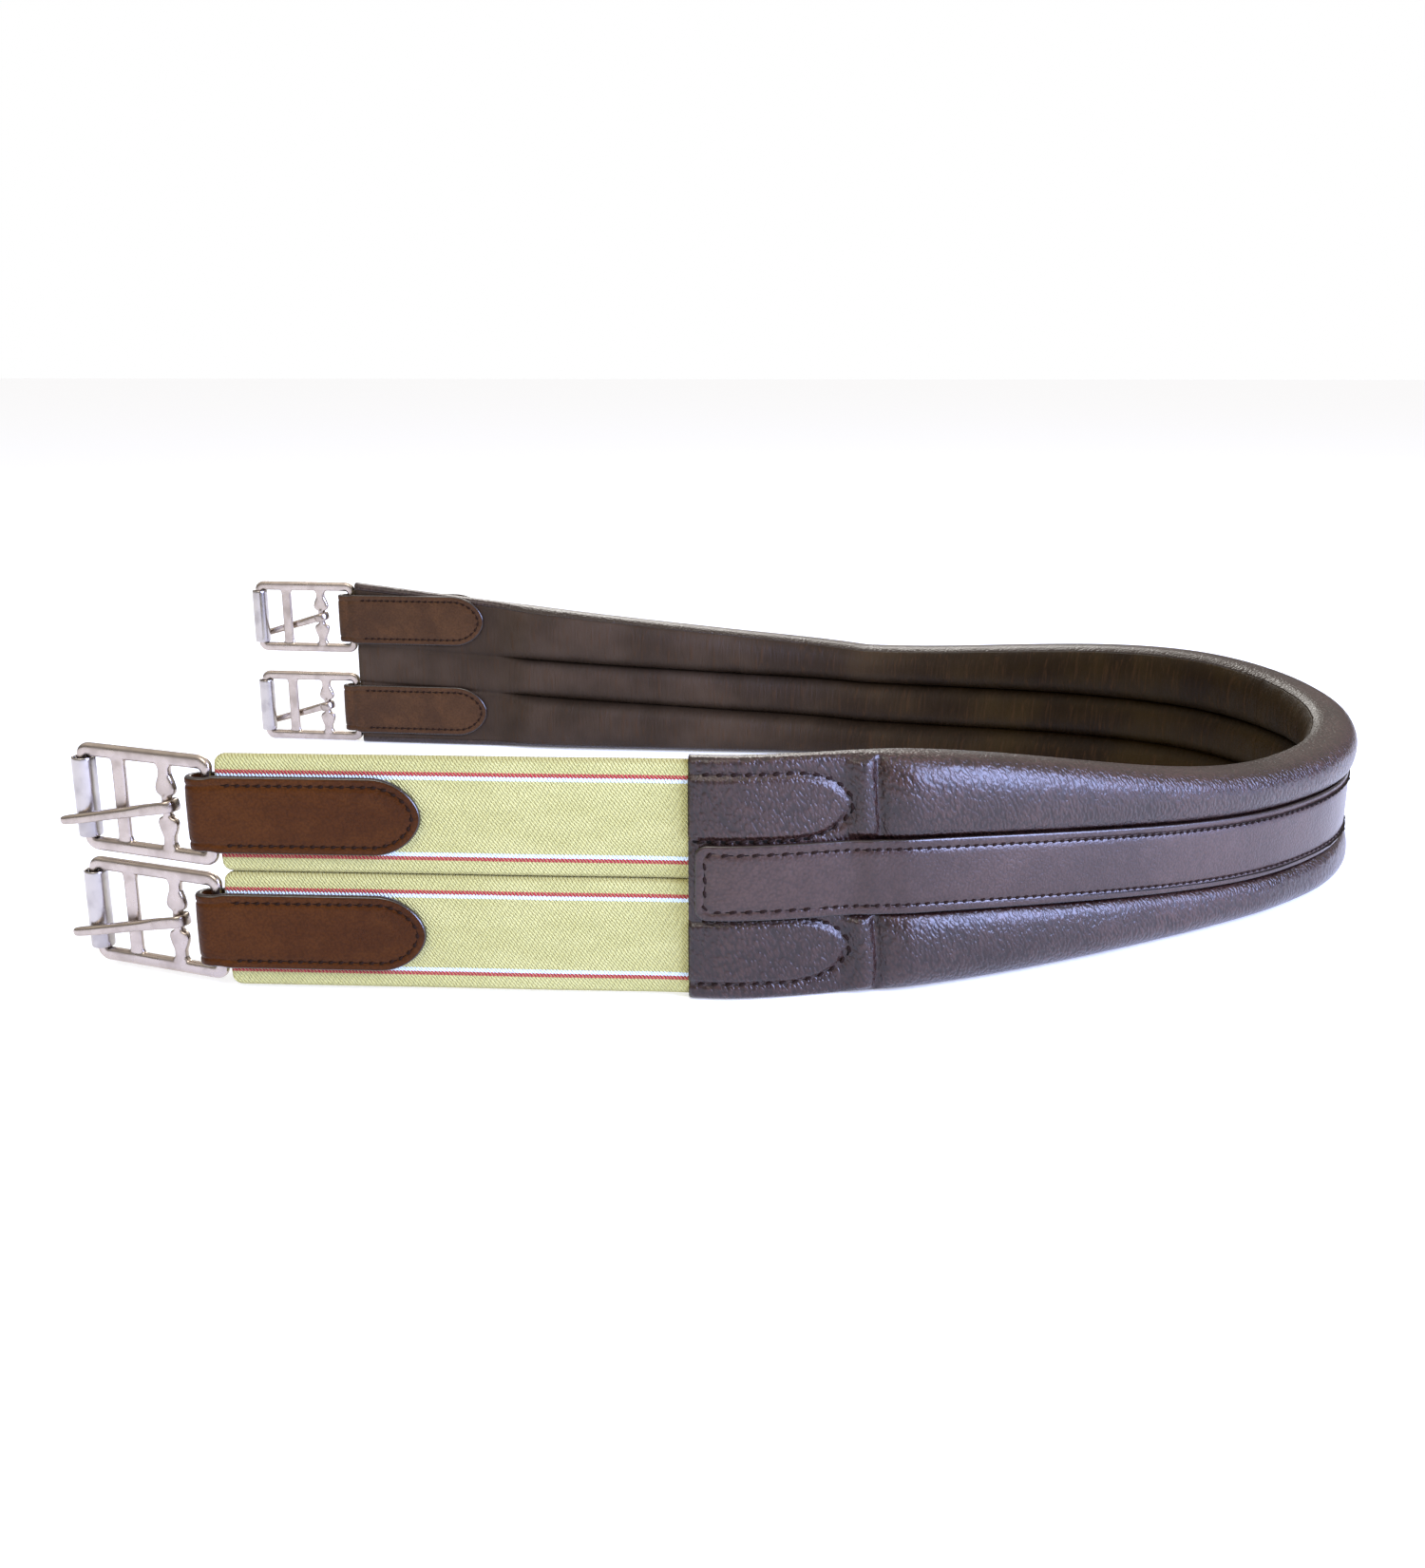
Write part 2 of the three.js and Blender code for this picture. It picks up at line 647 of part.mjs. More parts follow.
// A ring round the z axis.
function ring(inner, outer, height) {
  const half = height / 2;
  const profile = [
    [inner, -half],
    [outer, -half],
    [outer, half],
    [inner, half],
    [inner, -half],
  ];
  const points = profile.map(([r, z]) => new THREE.Vector2(r, z));
  const geometry = new THREE.LatheGeometry(points, ROUND_STEPS);
  geometry.rotateX(Math.PI / 2);
  return solid(geometry);
}

function tongueGeometry() {
  const corners = Array.from({ length: SHANK_SIDES }, (_, i) => (2 * Math.PI * i) / SHANK_SIDES);
  const rings = SHANK.map(([x, halfZ, halfY, lift]) =>
    corners.map((angle) => new THREE.Vector3(x, lift + halfY * Math.sin(angle), halfZ * Math.cos(angle))),
  );
  const shank = loft(rings, false);
  return geometryOf(ring(TONGUE_BORE, TONGUE_LOOP, 2 * TONGUE_HALF).add(solid(shank)));
}

// ---------------------------------------------------------------- the two ends

// Adds a buckle leather and its buckle to an end. The faces of the end may be turned over.
function addBuckle(end, name, settings) {
  const { height, leg, legHalf, swivel, droop } = settings;
  const place = new THREE.Group();
  place.position.z = height;
  end.add(place);
  addMesh(place, "chape_" + name, chapeGeometry(leg, legHalf), CHAPE_LEATHER);

  const buckle = new THREE.Group();
  buckle.position.x = BAR_PLACE;
  buckle.rotation.z = degToRad(swivel);
  place.add(buckle);
  const frame = addMesh(buckle, "buckle_frame_" + name, frameGeometry(), FRAME_STEEL);
  frame.position.x = -END_BAR;

  const roller = geometryOf(ring(ROLLER_BORE, ROLLER_RADIUS, ROLLER_LENGTH));
  addMesh(buckle, "buckle_roller_" + name, roller, ROLLER_STEEL).position.x = ROLLER_BAR - END_BAR;

  const tongue = addMesh(buckle, "buckle_tongue_" + name, tongueGeometry(), TONGUE_STEEL);
  tongue.position.x = TONGUE_BAR - END_BAR;
  tongue.rotation.y = degToRad(droop);
}

// An end's group has x away from the belt and y towards the outer face.
function addEnd(s, away, turnedOver) {
  const point = route.getPointAt(s / LENGTH);
  const end = new THREE.Group();
  end.position.copy(point);
  end.rotation.set(turnedOver ? Math.PI : 0, 0, Math.atan2(away.y, away.x), "ZYX");
  girth.add(end);
  return end;
}

const elasticEnd = addEnd(0, new THREE.Vector3(-1, 0, 0), false);
const fixedEnd = addEnd(LENGTH, route.getTangentAt(1), true);

for (const [level, sign] of Object.entries(LEVELS)) {
  addBuckle(elasticEnd, "elastic_" + level, {
    height: END_WIDTH / 2 + sign * BUCKLE_PITCH,
    leg: ELASTIC_LEG,
    legHalf: ELASTIC / 2 + GAP,
    swivel: ELASTIC_SWIVEL,
    droop: ELASTIC_DROOP,
  });
  addBuckle(fixedEnd, "fixed_" + level, {
    height: -FIXED_END_WIDTH / 2 - sign * FIXED_PITCH,
    leg: FIXED_LEG,
    legHalf: FLAT_HALF + GAP,
    swivel: 0,
    droop: -FIXED_DROOP,
  });
}

// ---------------------------------------------------------------- placing

// The origin is the middle of the girth's footprint, on the floor.
const box = new THREE.Box3().setFromObject(girth, true);
girth.position.set(-(box.min.x + box.max.x) / 2, -(box.min.y + box.max.y) / 2, -box.min.z);

export default girth;
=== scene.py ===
"""Looks of a padded leather saddle girth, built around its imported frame.

The belt is laid out straight first. Each point has a place along the mid-line, an offset outward
from it and a height, in millimetres, and bend() puts it on the girth's real path in metres.
"""
import json
import math

import bmesh
import bpy
import numpy as np
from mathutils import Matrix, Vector


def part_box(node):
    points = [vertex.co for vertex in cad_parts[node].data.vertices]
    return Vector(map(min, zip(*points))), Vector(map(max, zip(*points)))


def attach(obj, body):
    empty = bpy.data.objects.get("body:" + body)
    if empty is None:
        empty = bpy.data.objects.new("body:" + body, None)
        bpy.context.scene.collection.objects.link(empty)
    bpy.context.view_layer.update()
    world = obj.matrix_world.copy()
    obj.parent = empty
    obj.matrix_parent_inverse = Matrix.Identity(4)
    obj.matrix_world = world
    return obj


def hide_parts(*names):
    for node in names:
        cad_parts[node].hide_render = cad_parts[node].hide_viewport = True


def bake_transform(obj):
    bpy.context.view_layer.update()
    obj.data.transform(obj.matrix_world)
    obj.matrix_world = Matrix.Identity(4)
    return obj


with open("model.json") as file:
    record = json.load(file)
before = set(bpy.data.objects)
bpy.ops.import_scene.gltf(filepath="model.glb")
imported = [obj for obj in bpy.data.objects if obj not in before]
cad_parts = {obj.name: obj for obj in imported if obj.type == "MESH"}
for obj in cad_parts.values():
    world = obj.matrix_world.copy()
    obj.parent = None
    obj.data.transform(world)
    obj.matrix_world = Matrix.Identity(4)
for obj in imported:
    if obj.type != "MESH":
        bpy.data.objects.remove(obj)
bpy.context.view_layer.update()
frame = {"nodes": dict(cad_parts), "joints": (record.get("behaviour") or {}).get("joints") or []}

MM = 0.001
JOINTS = {joint["name"]: joint for joint in frame["joints"]}
LEVELS = (("upper", 1), ("lower", -1))

# ---- driving dimensions, in mm

# Plan of the mid-line, from the free end of the elastics, round the bend, to the fixed end.
ROUTE = [
    (0, 0), (183, 0), (218, 0), (297, 23), (386, 70), (467, 127), (502, 167), (515, 210), (507, 255),
    (482, 295), (445, 326), (359, 374), (267, 408), (182, 414), (92, 417), (62, 419), (-57, 427),
]
SPAN_STEPS = 120

LEATHER_START = 194
TAIL_END = 252
PAD_START = 256
SHOULDER = 30
FIRST_WAIST = 495
MIDDLE = 710
SECOND_WAIST = 925
FIXED_END_FLAT = 92

END_WIDTH = 104
FIRST_WAIST_WIDTH = 73
MIDDLE_WIDTH = 89
SECOND_WAIST_WIDTH = 71
FIXED_END_WIDTH = 109

FLAT_HALF = 4.2
ROLL_OUTER = 13.5
ROLL_INNER = 12.5
CORE_INNER = 9
STRAP_BED = 8
GROOVE = 4
EDGE_HALF = 1.6
EDGE_ROUND = 3
LEAN = 0.26
LEAN_PLACE = 880
LEAN_SPREAD = 130
ROLL_FULLNESS = 0.8
GROOVE_PITCH = 12.5
GROOVE_PAINTED_SHADE = 0.62  # how far painted shade darkens the lining towards its grooves
SEAM = 0.8
GAP = 0.3
COVER = 1.4
LINING = 1.2
COVER_WRAP = 0.8  # share of half a turn at which the cover ends on the inner face
LINING_UNDERLAP = 0.004  # share of half a turn between the lining and the cover's edge

STRAP_HALF = 16.2
STRAP = 2.6
STRAP_START = 197
STRAP_CORNER = 5
STRAP_SHORT = 93
STRAP_STITCH = 4.1  # inset of the strap's stitch lines
STRAP_GROOVE = 0.45
STRAP_CROWN = 0.25
COARSE_END = 247  # the strap's end is sewn with longer stitches up to here
COARSE_PITCH = 5.9
COARSE_STITCH = 4.1  # length of a stitch
FINE_PITCH = 4.25
FINE_STITCH = 2.9
STRAP_THREAD = 0.6  # radius of a stitch
BED_LIFT = 0.6  # extra offset of the strap at the shoulder's fold
BED_LIFT_PLACE = 268
BED_LIFT_WIDTH = 4
ROLL_FOOT = STRAP_HALF + SEAM

# Relief of the outer face: the outline of each elastic's tail, and the shoulder's fold and crease.
TAIL_TIP = 260
TAIL_CENTRE = 31  # height of the outline's middle from the belt's middle
TAIL_HALF = 14
TAIL_LENGTH = 25
TAIL_RAISE = 1.1
TAIL_GROOVE = 0.9
TAIL_GROOVE_WIDTH = 1.3
TAIL_PITCH = 5.5
TAIL_STITCH = 3.9
TAIL_THREAD = 0.64
FOLD_PLACE = 264
FOLD_RISE = 2.9
FOLD_WIDTH = 4.8
CREASE_GAP = 7  # from the fold to the crease beside it
CREASE_DEPTH = 2.2
CREASE_WIDTH = 1.8
TURNED_END = 0.9  # how far the cover's turned end drops
OUTER_WAVE = 0.16

# Relief of the inner face. Each crease is a place and a half-width.
CREASES = [
    (536, 2.2), (561, 1.6), (583, 2.4), (604, 1.7), (633, 2.6), (655, 1.8), (688, 2.3), (722, 1.9),
    (1010, 2.1),
]
INNER_CREASE = 0.55
INNER_WAVE = 0.14
CHANNEL_DEPTH = 0.9
CHANNEL_WIDTH = 1.4
VALLEY_DEPTH = 1.3
VALLEY_WIDTH = 3.8

ELASTIC_WIDTH = 50.2
ELASTIC = 4.8
ELASTIC_PITCH = 25.3
ELASTIC_CORNER = 4.5
ELASTIC_SIDE = 2.3  # round part of the band's edge
ELASTIC_WAVE = 0.25
TAIL_NOSE = 22

CHAPE = 3
CHAPE_WIDTH = 33
CHAPE_NOSE = 21
NOSE_POWER = 1.15  # 1 is an ellipse and a higher power is more pointed
CHAPE_REACH = 13
CHAPE_STITCH = 3.7  # inset of its stitch line
CHAPE_GROOVE = 0.42
CHAPE_CROWN = 0.2
CHAPE_PITCH = 4.3
CHAPE_STITCH_LENGTH = 2.7
CHAPE_THREAD = 0.62
CHAPE_NARROWING = 0.045  # share of the width that the fold loses
FOLD_HALF = 2.8
NARROW_START = 0.6
NARROW_END = 4
ELASTIC_LEG = 85
FIXED_LEG = 88
BUCKLE_PITCH = 25.3
FIXED_PITCH = 30.7
SKIVED = 0.7  # share of its thickness that a fixed tab's inner leg keeps

EDGE_DEPTH = 1.1  # how far in from a cut edge its dark mark reaches
BURNISHED = 0.3  # edge mark above which a leather edge is burnished
STITCH_SLANT = 0.3
HOLE_SHADE_SIDES = 8
PAST_MIDDLE = 99  # an inset that reaches past the middle of any piece

BUCKLE_WIDTH = 47.6
END_BAR = 2.5
TONGUE_BAR = 24
KEEPER_BAR = 47.75
ROLLER_BAR = 66.5
RAIL_INSET = 3
FRAME_CORNER = 3.6
BAR_HALF = 20
ROLLER_LENGTH = 34.8
ROLLER_RADIUS = 5
ROLLER_WALL = 1.1
# Heights above the neck and half-widths of the vase-shaped bar.
PETAL = [
    (0, 2.2), (4.2, 2.2), (5.6, 4.5), (7.5, 5.2), (10.5, 4.3), (13.5, 2.9), (16.2, 2.9), (18.5, 4.3),
    (20, 5.5),
]
TONGUE_LOOP = 4.15
# The tongue's line beyond its loop, as (x, y).
TONGUE_SHANK = [(5, 4.1), (10, 4.2), (20, 4.9), (31, 6.2), (42, 7.4), (49, 7.7), (52, 7.5)]
# Places along the shank, and the tongue's half-depths and half-widths there.
TONGUE_DEPTHS = ((-6, 6, 14, 42, 52), (0.85, 1.1, 1.95, 1.75, 1.3))
TONGUE_HALVES = ((-6, 4, 14, 42, 52), (2.5, 2.5, 2.35, 2.05, 1.5))
TONGUE_TIP = 2.2
CASTING_VOXEL = 0.42
CASTING_POLISH = 5
# How far each tongue droops across its buckle, in degrees.
DROOPS = {"elastic_upper": 11, "elastic_lower": 11, "fixed_upper": -17, "fixed_lower": -17}

# ---- lines and shares


def smooth(low, high, x):
    share = np.clip((x - low) / (high - low), 0, 1)
    return share * share * (3 - 2 * share)


def mix(a, b, share):
    return a + (b - a) * share


def hump(x, place, spread):
    return np.exp(-(((x - place) / spread) ** 2))


def unit(vectors):
    return vectors / np.linalg.norm(vectors, axis=-1, keepdims=True)


def runs_along(line):
    """Unit tangents of a line of points."""
    return unit(np.gradient(line, axis=0))


def left_of(tangent):
    """Unit normals to the left of a plane line's tangents."""
    return coords(-tangent[:, 1], tangent[:, 0])


def coords(*values):
    """Points from their coordinates. A single number stands for all of them."""
    return np.stack(np.broadcast_arrays(*values), -1)


def full_turn(count):
    return np.linspace(0, 2 * np.pi, count, endpoint=False)


def half_turn(count):
    return np.linspace(-np.pi / 2, np.pi / 2, count)


def window(low, full, last, high, x):
    """1 from full to last, falling to 0 at low and high."""
    return smooth(low, full, x) * (1 - smooth(last, high, x))


def distances(line):
    """Distance of each point of a line from its start."""
    return np.concatenate([[0], np.cumsum(np.linalg.norm(np.diff(line, axis=0), axis=1))])


def sample(line, along, places):
    """Points at places along a line of two columns, given each point's distance along it."""
    return coords(*(np.interp(places, along, line[:, k]) for k in (0, 1)))


def even(line, pitch):
    """Evenly spaced points of a line of two columns."""
    line = np.array(line)
    along = distances(line)
    return sample(line, along, np.arange(pitch / 2, along[-1], pitch))


def blurred(line, reach):
    """A line of two columns smoothed over neighbouring points, short by reach points at each end."""
    kernel = np.hanning(2 * reach + 1)
    kernel /= kernel.sum()
    return coords(*(np.convolve(line[:, k], kernel, "valid") for k in (0, 1)))


def catmull_rom(points, steps):
    """A centripetal curve through the points, as a dense row of points."""
    p = np.array(points, float)
    p = np.vstack([2 * p[0] - p[1], p, 2 * p[-1] - p[-2]])
    u = np.linspace(0, 1, steps, endpoint=False)[:, None]
    spans = []
    for before, a, b, after in zip(p, p[1:], p[2:], p[3:]):
        d0, d1, d2 = (math.sqrt(np.linalg.norm(y - x)) for x, y in ((before, a), (a, b), (b, after)))
        t0 = ((a - before) / d0 - (b - before) / (d0 + d1) + (b - a) / d1) * d1
        t1 = ((b - a) / d1 - (after - a) / (d1 + d2) + (after - b) / d2) * d1
        spans.append(a + t0 * u + (3 * (b - a) - 2 * t0 - t1) * u**2 + (2 * (a - b) + t0 + t1) * u**3)
    return np.vstack([*spans, p[-2]])


# ---- the belt laid out straight

LINE = catmull_rom(ROUTE, SPAN_STEPS)
ALONG = distances(LINE)
LENGTH = ALONG[-1]
TANGENT = np.gradient(LINE, ALONG, axis=0)
PAD_END = LENGTH - FIXED_END_FLAT
STRAP_END = LENGTH - STRAP_SHORT

# The free end of the elastics in the row frame, from the CAD node.
elastic_low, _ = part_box("elastic_upper")
ORIGIN = np.array([elastic_low.x / MM, elastic_low.y / MM + ELASTIC / 2])


def height_at(s):
    """Height of the belt's upper edge."""
    first = mix(END_WIDTH, FIRST_WAIST_WIDTH, smooth(PAD_START, FIRST_WAIST, s))
    second = mix(FIRST_WAIST_WIDTH, MIDDLE_WIDTH, smooth(FIRST_WAIST, MIDDLE, s))
    third = mix(MIDDLE_WIDTH, SECOND_WAIST_WIDTH, smooth(MIDDLE, SECOND_WAIST, s))
    last = mix(SECOND_WAIST_WIDTH, FIXED_END_WIDTH, (s - SECOND_WAIST) / (LENGTH - SECOND_WAIST))
    return np.select([s < FIRST_WAIST, s < MIDDLE, s < SECOND_WAIST], [first, second, third], last)


def padding_at(s):
    """1 where the belt is padded, falling to 0 over each shoulder."""
    return window(PAD_START, PAD_START + SHOULDER, PAD_END - SHOULDER, PAD_END, s)


def bed_at(s):
    """Outward offset of the strap's back."""
    return mix(FLAT_HALF, STRAP_BED, padding_at(s)) + BED_LIFT * hump(s, BED_LIFT_PLACE, BED_LIFT_WIDTH) + GAP


def plan(s):
    """Points and unit tangents of the mid-line."""
    return sample(LINE, ALONG, s) + ORIGIN, unit(sample(TANGENT, ALONG, s))


def bend(flat):
    """Points laid out straight, as (place, outward, height) in mm, in the row frame in metres."""
    s, outward, height = np.moveaxis(np.asarray(flat, float), -1, 0)
    point, tangent = plan(s)
    out = outward + LEAN * hump(s, LEAN_PLACE, LEAN_SPREAD) * height
    x = point[..., 0] + tangent[..., 1] * out
    y = point[..., 1] - tangent[..., 0] * out
    return coords(x, y, height) * MM


def roll(q, low, high, bed, crown, edge):
    """Offset of a padded roll at a distance q from the belt's middle."""
    share = np.clip((q - low) / (high - low), 0, 1)
    angle = np.arccos(1 - 2 * share)
    start = np.where(angle < np.pi / 2, bed, edge)
    return start + (crown - start) * np.sin(angle) ** ROLL_FULLNESS


def thin_face(q, half):
    """Offset of the unpadded belt's face, with its round edge."""
    rounding = np.clip((q - half + EDGE_ROUND) / EDGE_ROUND, 0, 1)
    return EDGE_HALF + (FLAT_HALF - EDGE_HALF) * np.sqrt(1 - rounding**2)


def tail_inset(s, q):
    """Distance inside the stitched outline of an elastic's tail."""
    across = (np.abs(q) - TAIL_CENTRE) / TAIL_HALF
    along = np.clip((s - TAIL_TIP + TAIL_LENGTH) / TAIL_LENGTH, 0, None)
    return (1 - np.hypot(along, across)) * TAIL_HALF


def outer_detail(s, q, half):
    """Small relief on the outer face: the tails' outline, the shoulder's fold and the leather's waves."""
    inset = tail_inset(s, q)
    tail = TAIL_RAISE * smooth(0, 2.5, inset) - TAIL_GROOVE * hump(inset, 0, TAIL_GROOVE_WIDTH)
    tail *= 1 - smooth(TAIL_TIP + 1, TAIL_TIP + 6, s)
    body = smooth(0, 4, half - np.abs(q)) * smooth(ROLL_FOOT - 1, ROLL_FOOT + 3, np.abs(q))
    place = FOLD_PLACE + 0.9 * np.sin(q / 9)
    fold = FOLD_RISE * hump(s, place, FOLD_WIDTH)
    fold -= CREASE_DEPTH * hump(s, place + CREASE_GAP, CREASE_WIDTH)
    turned = -TURNED_END * (1 - smooth(LEATHER_START, LEATHER_START + 1.8, s))
    waves = np.sin(s / 17 + q / 23) + 0.7 * np.sin(s / 7.3 - q / 11 + 2)
    return (tail + fold) * body + turned + OUTER_WAVE * waves * padding_at(s) * body


def inner_detail(s, q, half):
    """Small relief on the inner face: creases where the bend squeezes it, and sewn channels."""
    body = smooth(0, 6, half - np.abs(q))
    creases = 0
    for place, width in CREASES:
        creases = creases - INNER_CREASE * hump(s, place + 2.5 * np.sin(q / 13 + place), width)
    waves = np.sin(s / 13 + q / 19) + 0.7 * np.sin(s / 6.1 + q / 15 + 1)
    channels = -CHANNEL_DEPTH * hump(np.abs(q), GROOVE_PITCH, CHANNEL_WIDTH)
    channels = channels * smooth(PAD_END - SHOULDER - 12, PAD_END - 8, s)
    valleys = -VALLEY_DEPTH * hump(np.abs(q), GROOVE_PITCH, VALLEY_WIDTH)
    return (creases + valleys + INNER_WAVE * waves) * body * padding_at(s) + channels


def outer_face(s, q):
    """Outward offset of the outer face at a height q from the belt's middle."""
    half = height_at(s) / 2
    side = roll(np.abs(q), ROLL_FOOT, half, STRAP_BED, ROLL_OUTER, EDGE_HALF)
    padded = np.where(np.abs(q) < ROLL_FOOT, STRAP_BED, side)
    return mix(thin_face(np.abs(q), half), padded, padding_at(s)) + outer_detail(s, q, half)


def inner_face(s, q):
    """Inward offset of the inner face at a height q from the belt's middle."""
    half = height_at(s) / 2
    side = roll(np.abs(q), GROOVE_PITCH, half, GROOVE, ROLL_INNER, EDGE_HALF)
    core = roll(q, -GROOVE_PITCH, GROOVE_PITCH, GROOVE, CORE_INNER, GROOVE)
    padded = np.where(np.abs(q) < GROOVE_PITCH, core, side)
    return mix(thin_face(np.abs(q), half), padded, padding_at(s)) + inner_detail(s, q, half)


# ---- mesh helpers


def make_object(name, points, faces, flat, material):
    """A smooth mesh object. flat holds the points before bending, in mm, for the materials."""
    mesh = bpy.data.meshes.new(name)
    mesh.from_pydata(np.asarray(points).tolist(), [], [tuple(face) for face in faces])
    attribute = mesh.attributes.new("flat", "FLOAT_VECTOR", "POINT")
    attribute.data.foreach_set("vector", np.asarray(flat, np.float32).ravel())
    mesh.materials.append(material)
    mesh.polygons.foreach_set("use_smooth", [True] * len(mesh.polygons))
    mesh.update()
    piece = bpy.data.objects.new(name, mesh)
    bpy.context.scene.collection.objects.link(piece)
    return piece


def grid_faces(rows, columns, closed=False):
    """Quads of a grid of points. A closed grid's last column joins its first."""
    i, j = np.meshgrid(np.arange(rows - 1), np.arange(columns if closed else columns - 1), indexing="ij")
    i, j = i.ravel(), j.ravel()
    k = (j + 1) % columns
    return np.stack([i * columns + j, (i + 1) * columns + j, (i + 1) * columns + k, i * columns + k], -1)


def capped_tube(rings):
    """Points and faces of closed rings in a row, with each end filled by a fan."""
    rows, columns = rings.shape[:2]
    points = np.vstack([rings.reshape(-1, 3), rings[0].mean(0), rings[-1].mean(0)])
    faces = [tuple(face) for face in grid_faces(rows, columns, closed=True)]
    first, last = rows * columns, rows * columns + 1
    start = (rows - 1) * columns
    for j in range(columns):
        k = (j + 1) % columns
        faces.append((first, j, k))
        faces.append((last, start + k, start + j))
    return points, faces


def tidy(points, faces):
    """Welds a mesh and turns its faces outward. Returns its points and faces again."""
    shape = bmesh.new()
    vertices = [shape.verts.new(point) for point in np.asarray(points).tolist()]
    for face in faces:
        shape.faces.new([vertices[i] for i in face])
    bmesh.ops.remove_doubles(shape, verts=shape.verts, dist=1e-4)
    bmesh.ops.recalc_face_normals(shape, faces=shape.faces)
    shape.verts.index_update()
    points = np.array([v.co[:] for v in shape.verts])
    faces = [tuple(v.index for v in face.verts) for face in shape.faces]
    shape.free()
    return points, faces


def fix_normals(piece):
    shape = bmesh.new()
    shape.from_mesh(piece.data)
    bmesh.ops.recalc_face_normals(shape, faces=shape.faces)
    shape.to_mesh(piece.data)
    shape.free()


def solidify(piece, thickness):
    shell = piece.modifiers.new("thickness", "SOLIDIFY")
    shell.thickness = thickness * MM
    shell.offset = -1
    shell.use_even_offset = True


def store_marks(piece, marks):
    """Keeps how far each point's colour turns to its material's dark tone."""
    attribute = piece.data.attributes.new("mark", "FLOAT", "POINT")
    attribute.data.foreach_set("value", np.asarray(marks, np.float32))


def settle(piece, body, slot, *nodes):
    """Rides a finished piece on its body, and lets it stand for CAD nodes."""
    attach(piece, body)
    if nodes:
        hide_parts(*nodes)


# ---- materials


class Nodes:
    """A node tree whose nodes are added one by one. An input is a socket or a plain value."""

    def __init__(self, tree):
        self.tree = tree

    def feed(self, socket, value):
        if isinstance(value, bpy.types.NodeSocket):
            self.tree.links.new(value, socket)
        else:
            socket.default_value = value

    def node(self, kind, inputs=None, **settings):
        made = self.tree.nodes.new("ShaderNode" + kind)
        for setting, value in settings.items():
            setattr(made, setting, value)
        for key, value in (inputs or {}).items():
            self.feed(made.inputs[key], value)
        return made

    def step(self, value, low, high, to_low=0.0, to_high=1.0):
        """A smooth change from to_low to to_high while value goes from low to high."""
        inputs = {"Value": value, "From Min": low, "From Max": high, "To Min": to_low, "To Max": to_high}
        return self.node("MapRange", inputs, interpolation_type="SMOOTHSTEP").outputs[0]

    def blend(self, share, a, b):
        return self.node("Mix", {0: share, 6: a, 7: b}, data_type="RGBA").outputs[2]


class Look(Nodes):
    """A material's nodes. Keywords name the shader's sockets, with _ for a space."""

    def __init__(self, name, **sockets):
        self.material = bpy.data.materials.new(name)
        self.material.use_nodes = True
        super().__init__(self.material.node_tree)
        self.shader = self.tree.nodes["Principled BSDF"]
        self.shade(**sockets)

    def place(self, scale=(1, 1, 1), turn=(0, 0, 0)):
        """The laid-out place of a point in mm, turned and then scaled."""
        flat = self.node("Attribute", attribute_name="flat").outputs["Vector"]
        turned = self.node("Mapping", {"Vector": flat, "Rotation": turn}).outputs[0]
        return self.node("Mapping", {"Vector": turned, "Scale": scale}).outputs[0]

    def axes(self, vector):
        return self.node("SeparateXYZ", {"Vector": vector}).outputs

    def noise(self, place, scale, detail=3.0, roughness=0.5, distortion=0.0):
        inputs = {"Vector": place, "Scale": scale, "Detail": detail}
        inputs |= {"Roughness": roughness, "Distortion": distortion}
        return self.node("TexNoise", inputs).outputs["Fac"]

    def math(self, operation, *values):
        return self.node("Math", dict(enumerate(values)), operation=operation).outputs[0]

    def times(self, a, b):
        return self.math("MULTIPLY", a, b)

    def plus(self, a, b):
        return self.math("ADD", a, b)

    def sine(self, value, rate):
        return self.math("SINE", self.times(value, rate))

    def marked(self, colour, dark):
        """The colour, turned to its dark tone where the piece's mark rises."""
        mark = self.node("Attribute", attribute_name="mark").outputs["Fac"]
        return self.blend(mark, colour, dark)

    def bump(self, height, distance, normal=None, strength=1.0):
        inputs = {"Height": height, "Distance": distance * MM, "Strength": strength}
        if normal is not None:
            inputs["Normal"] = normal
        return self.node("Bump", inputs).outputs[0]

    def shade(self, **sockets):
        for socket, value in sockets.items():
            self.feed(self.shader.inputs[socket.replace("_", " ")], value)

    def finish(self, colour, rough, normal):
        self.shade(Base_Color=colour, Roughness=rough, Normal=normal)
        return self.material


def rgb(red, green, blue):
    """A display colour, 0 to 255, as the linear colour that nodes take."""
    shares = (red / 255, green / 255, blue / 255)
    linear = [c / 12.92 if c <= 0.04045 else ((c + 0.055) / 1.055) ** 2.4 for c in shares]
    return (*linear, 1.0)


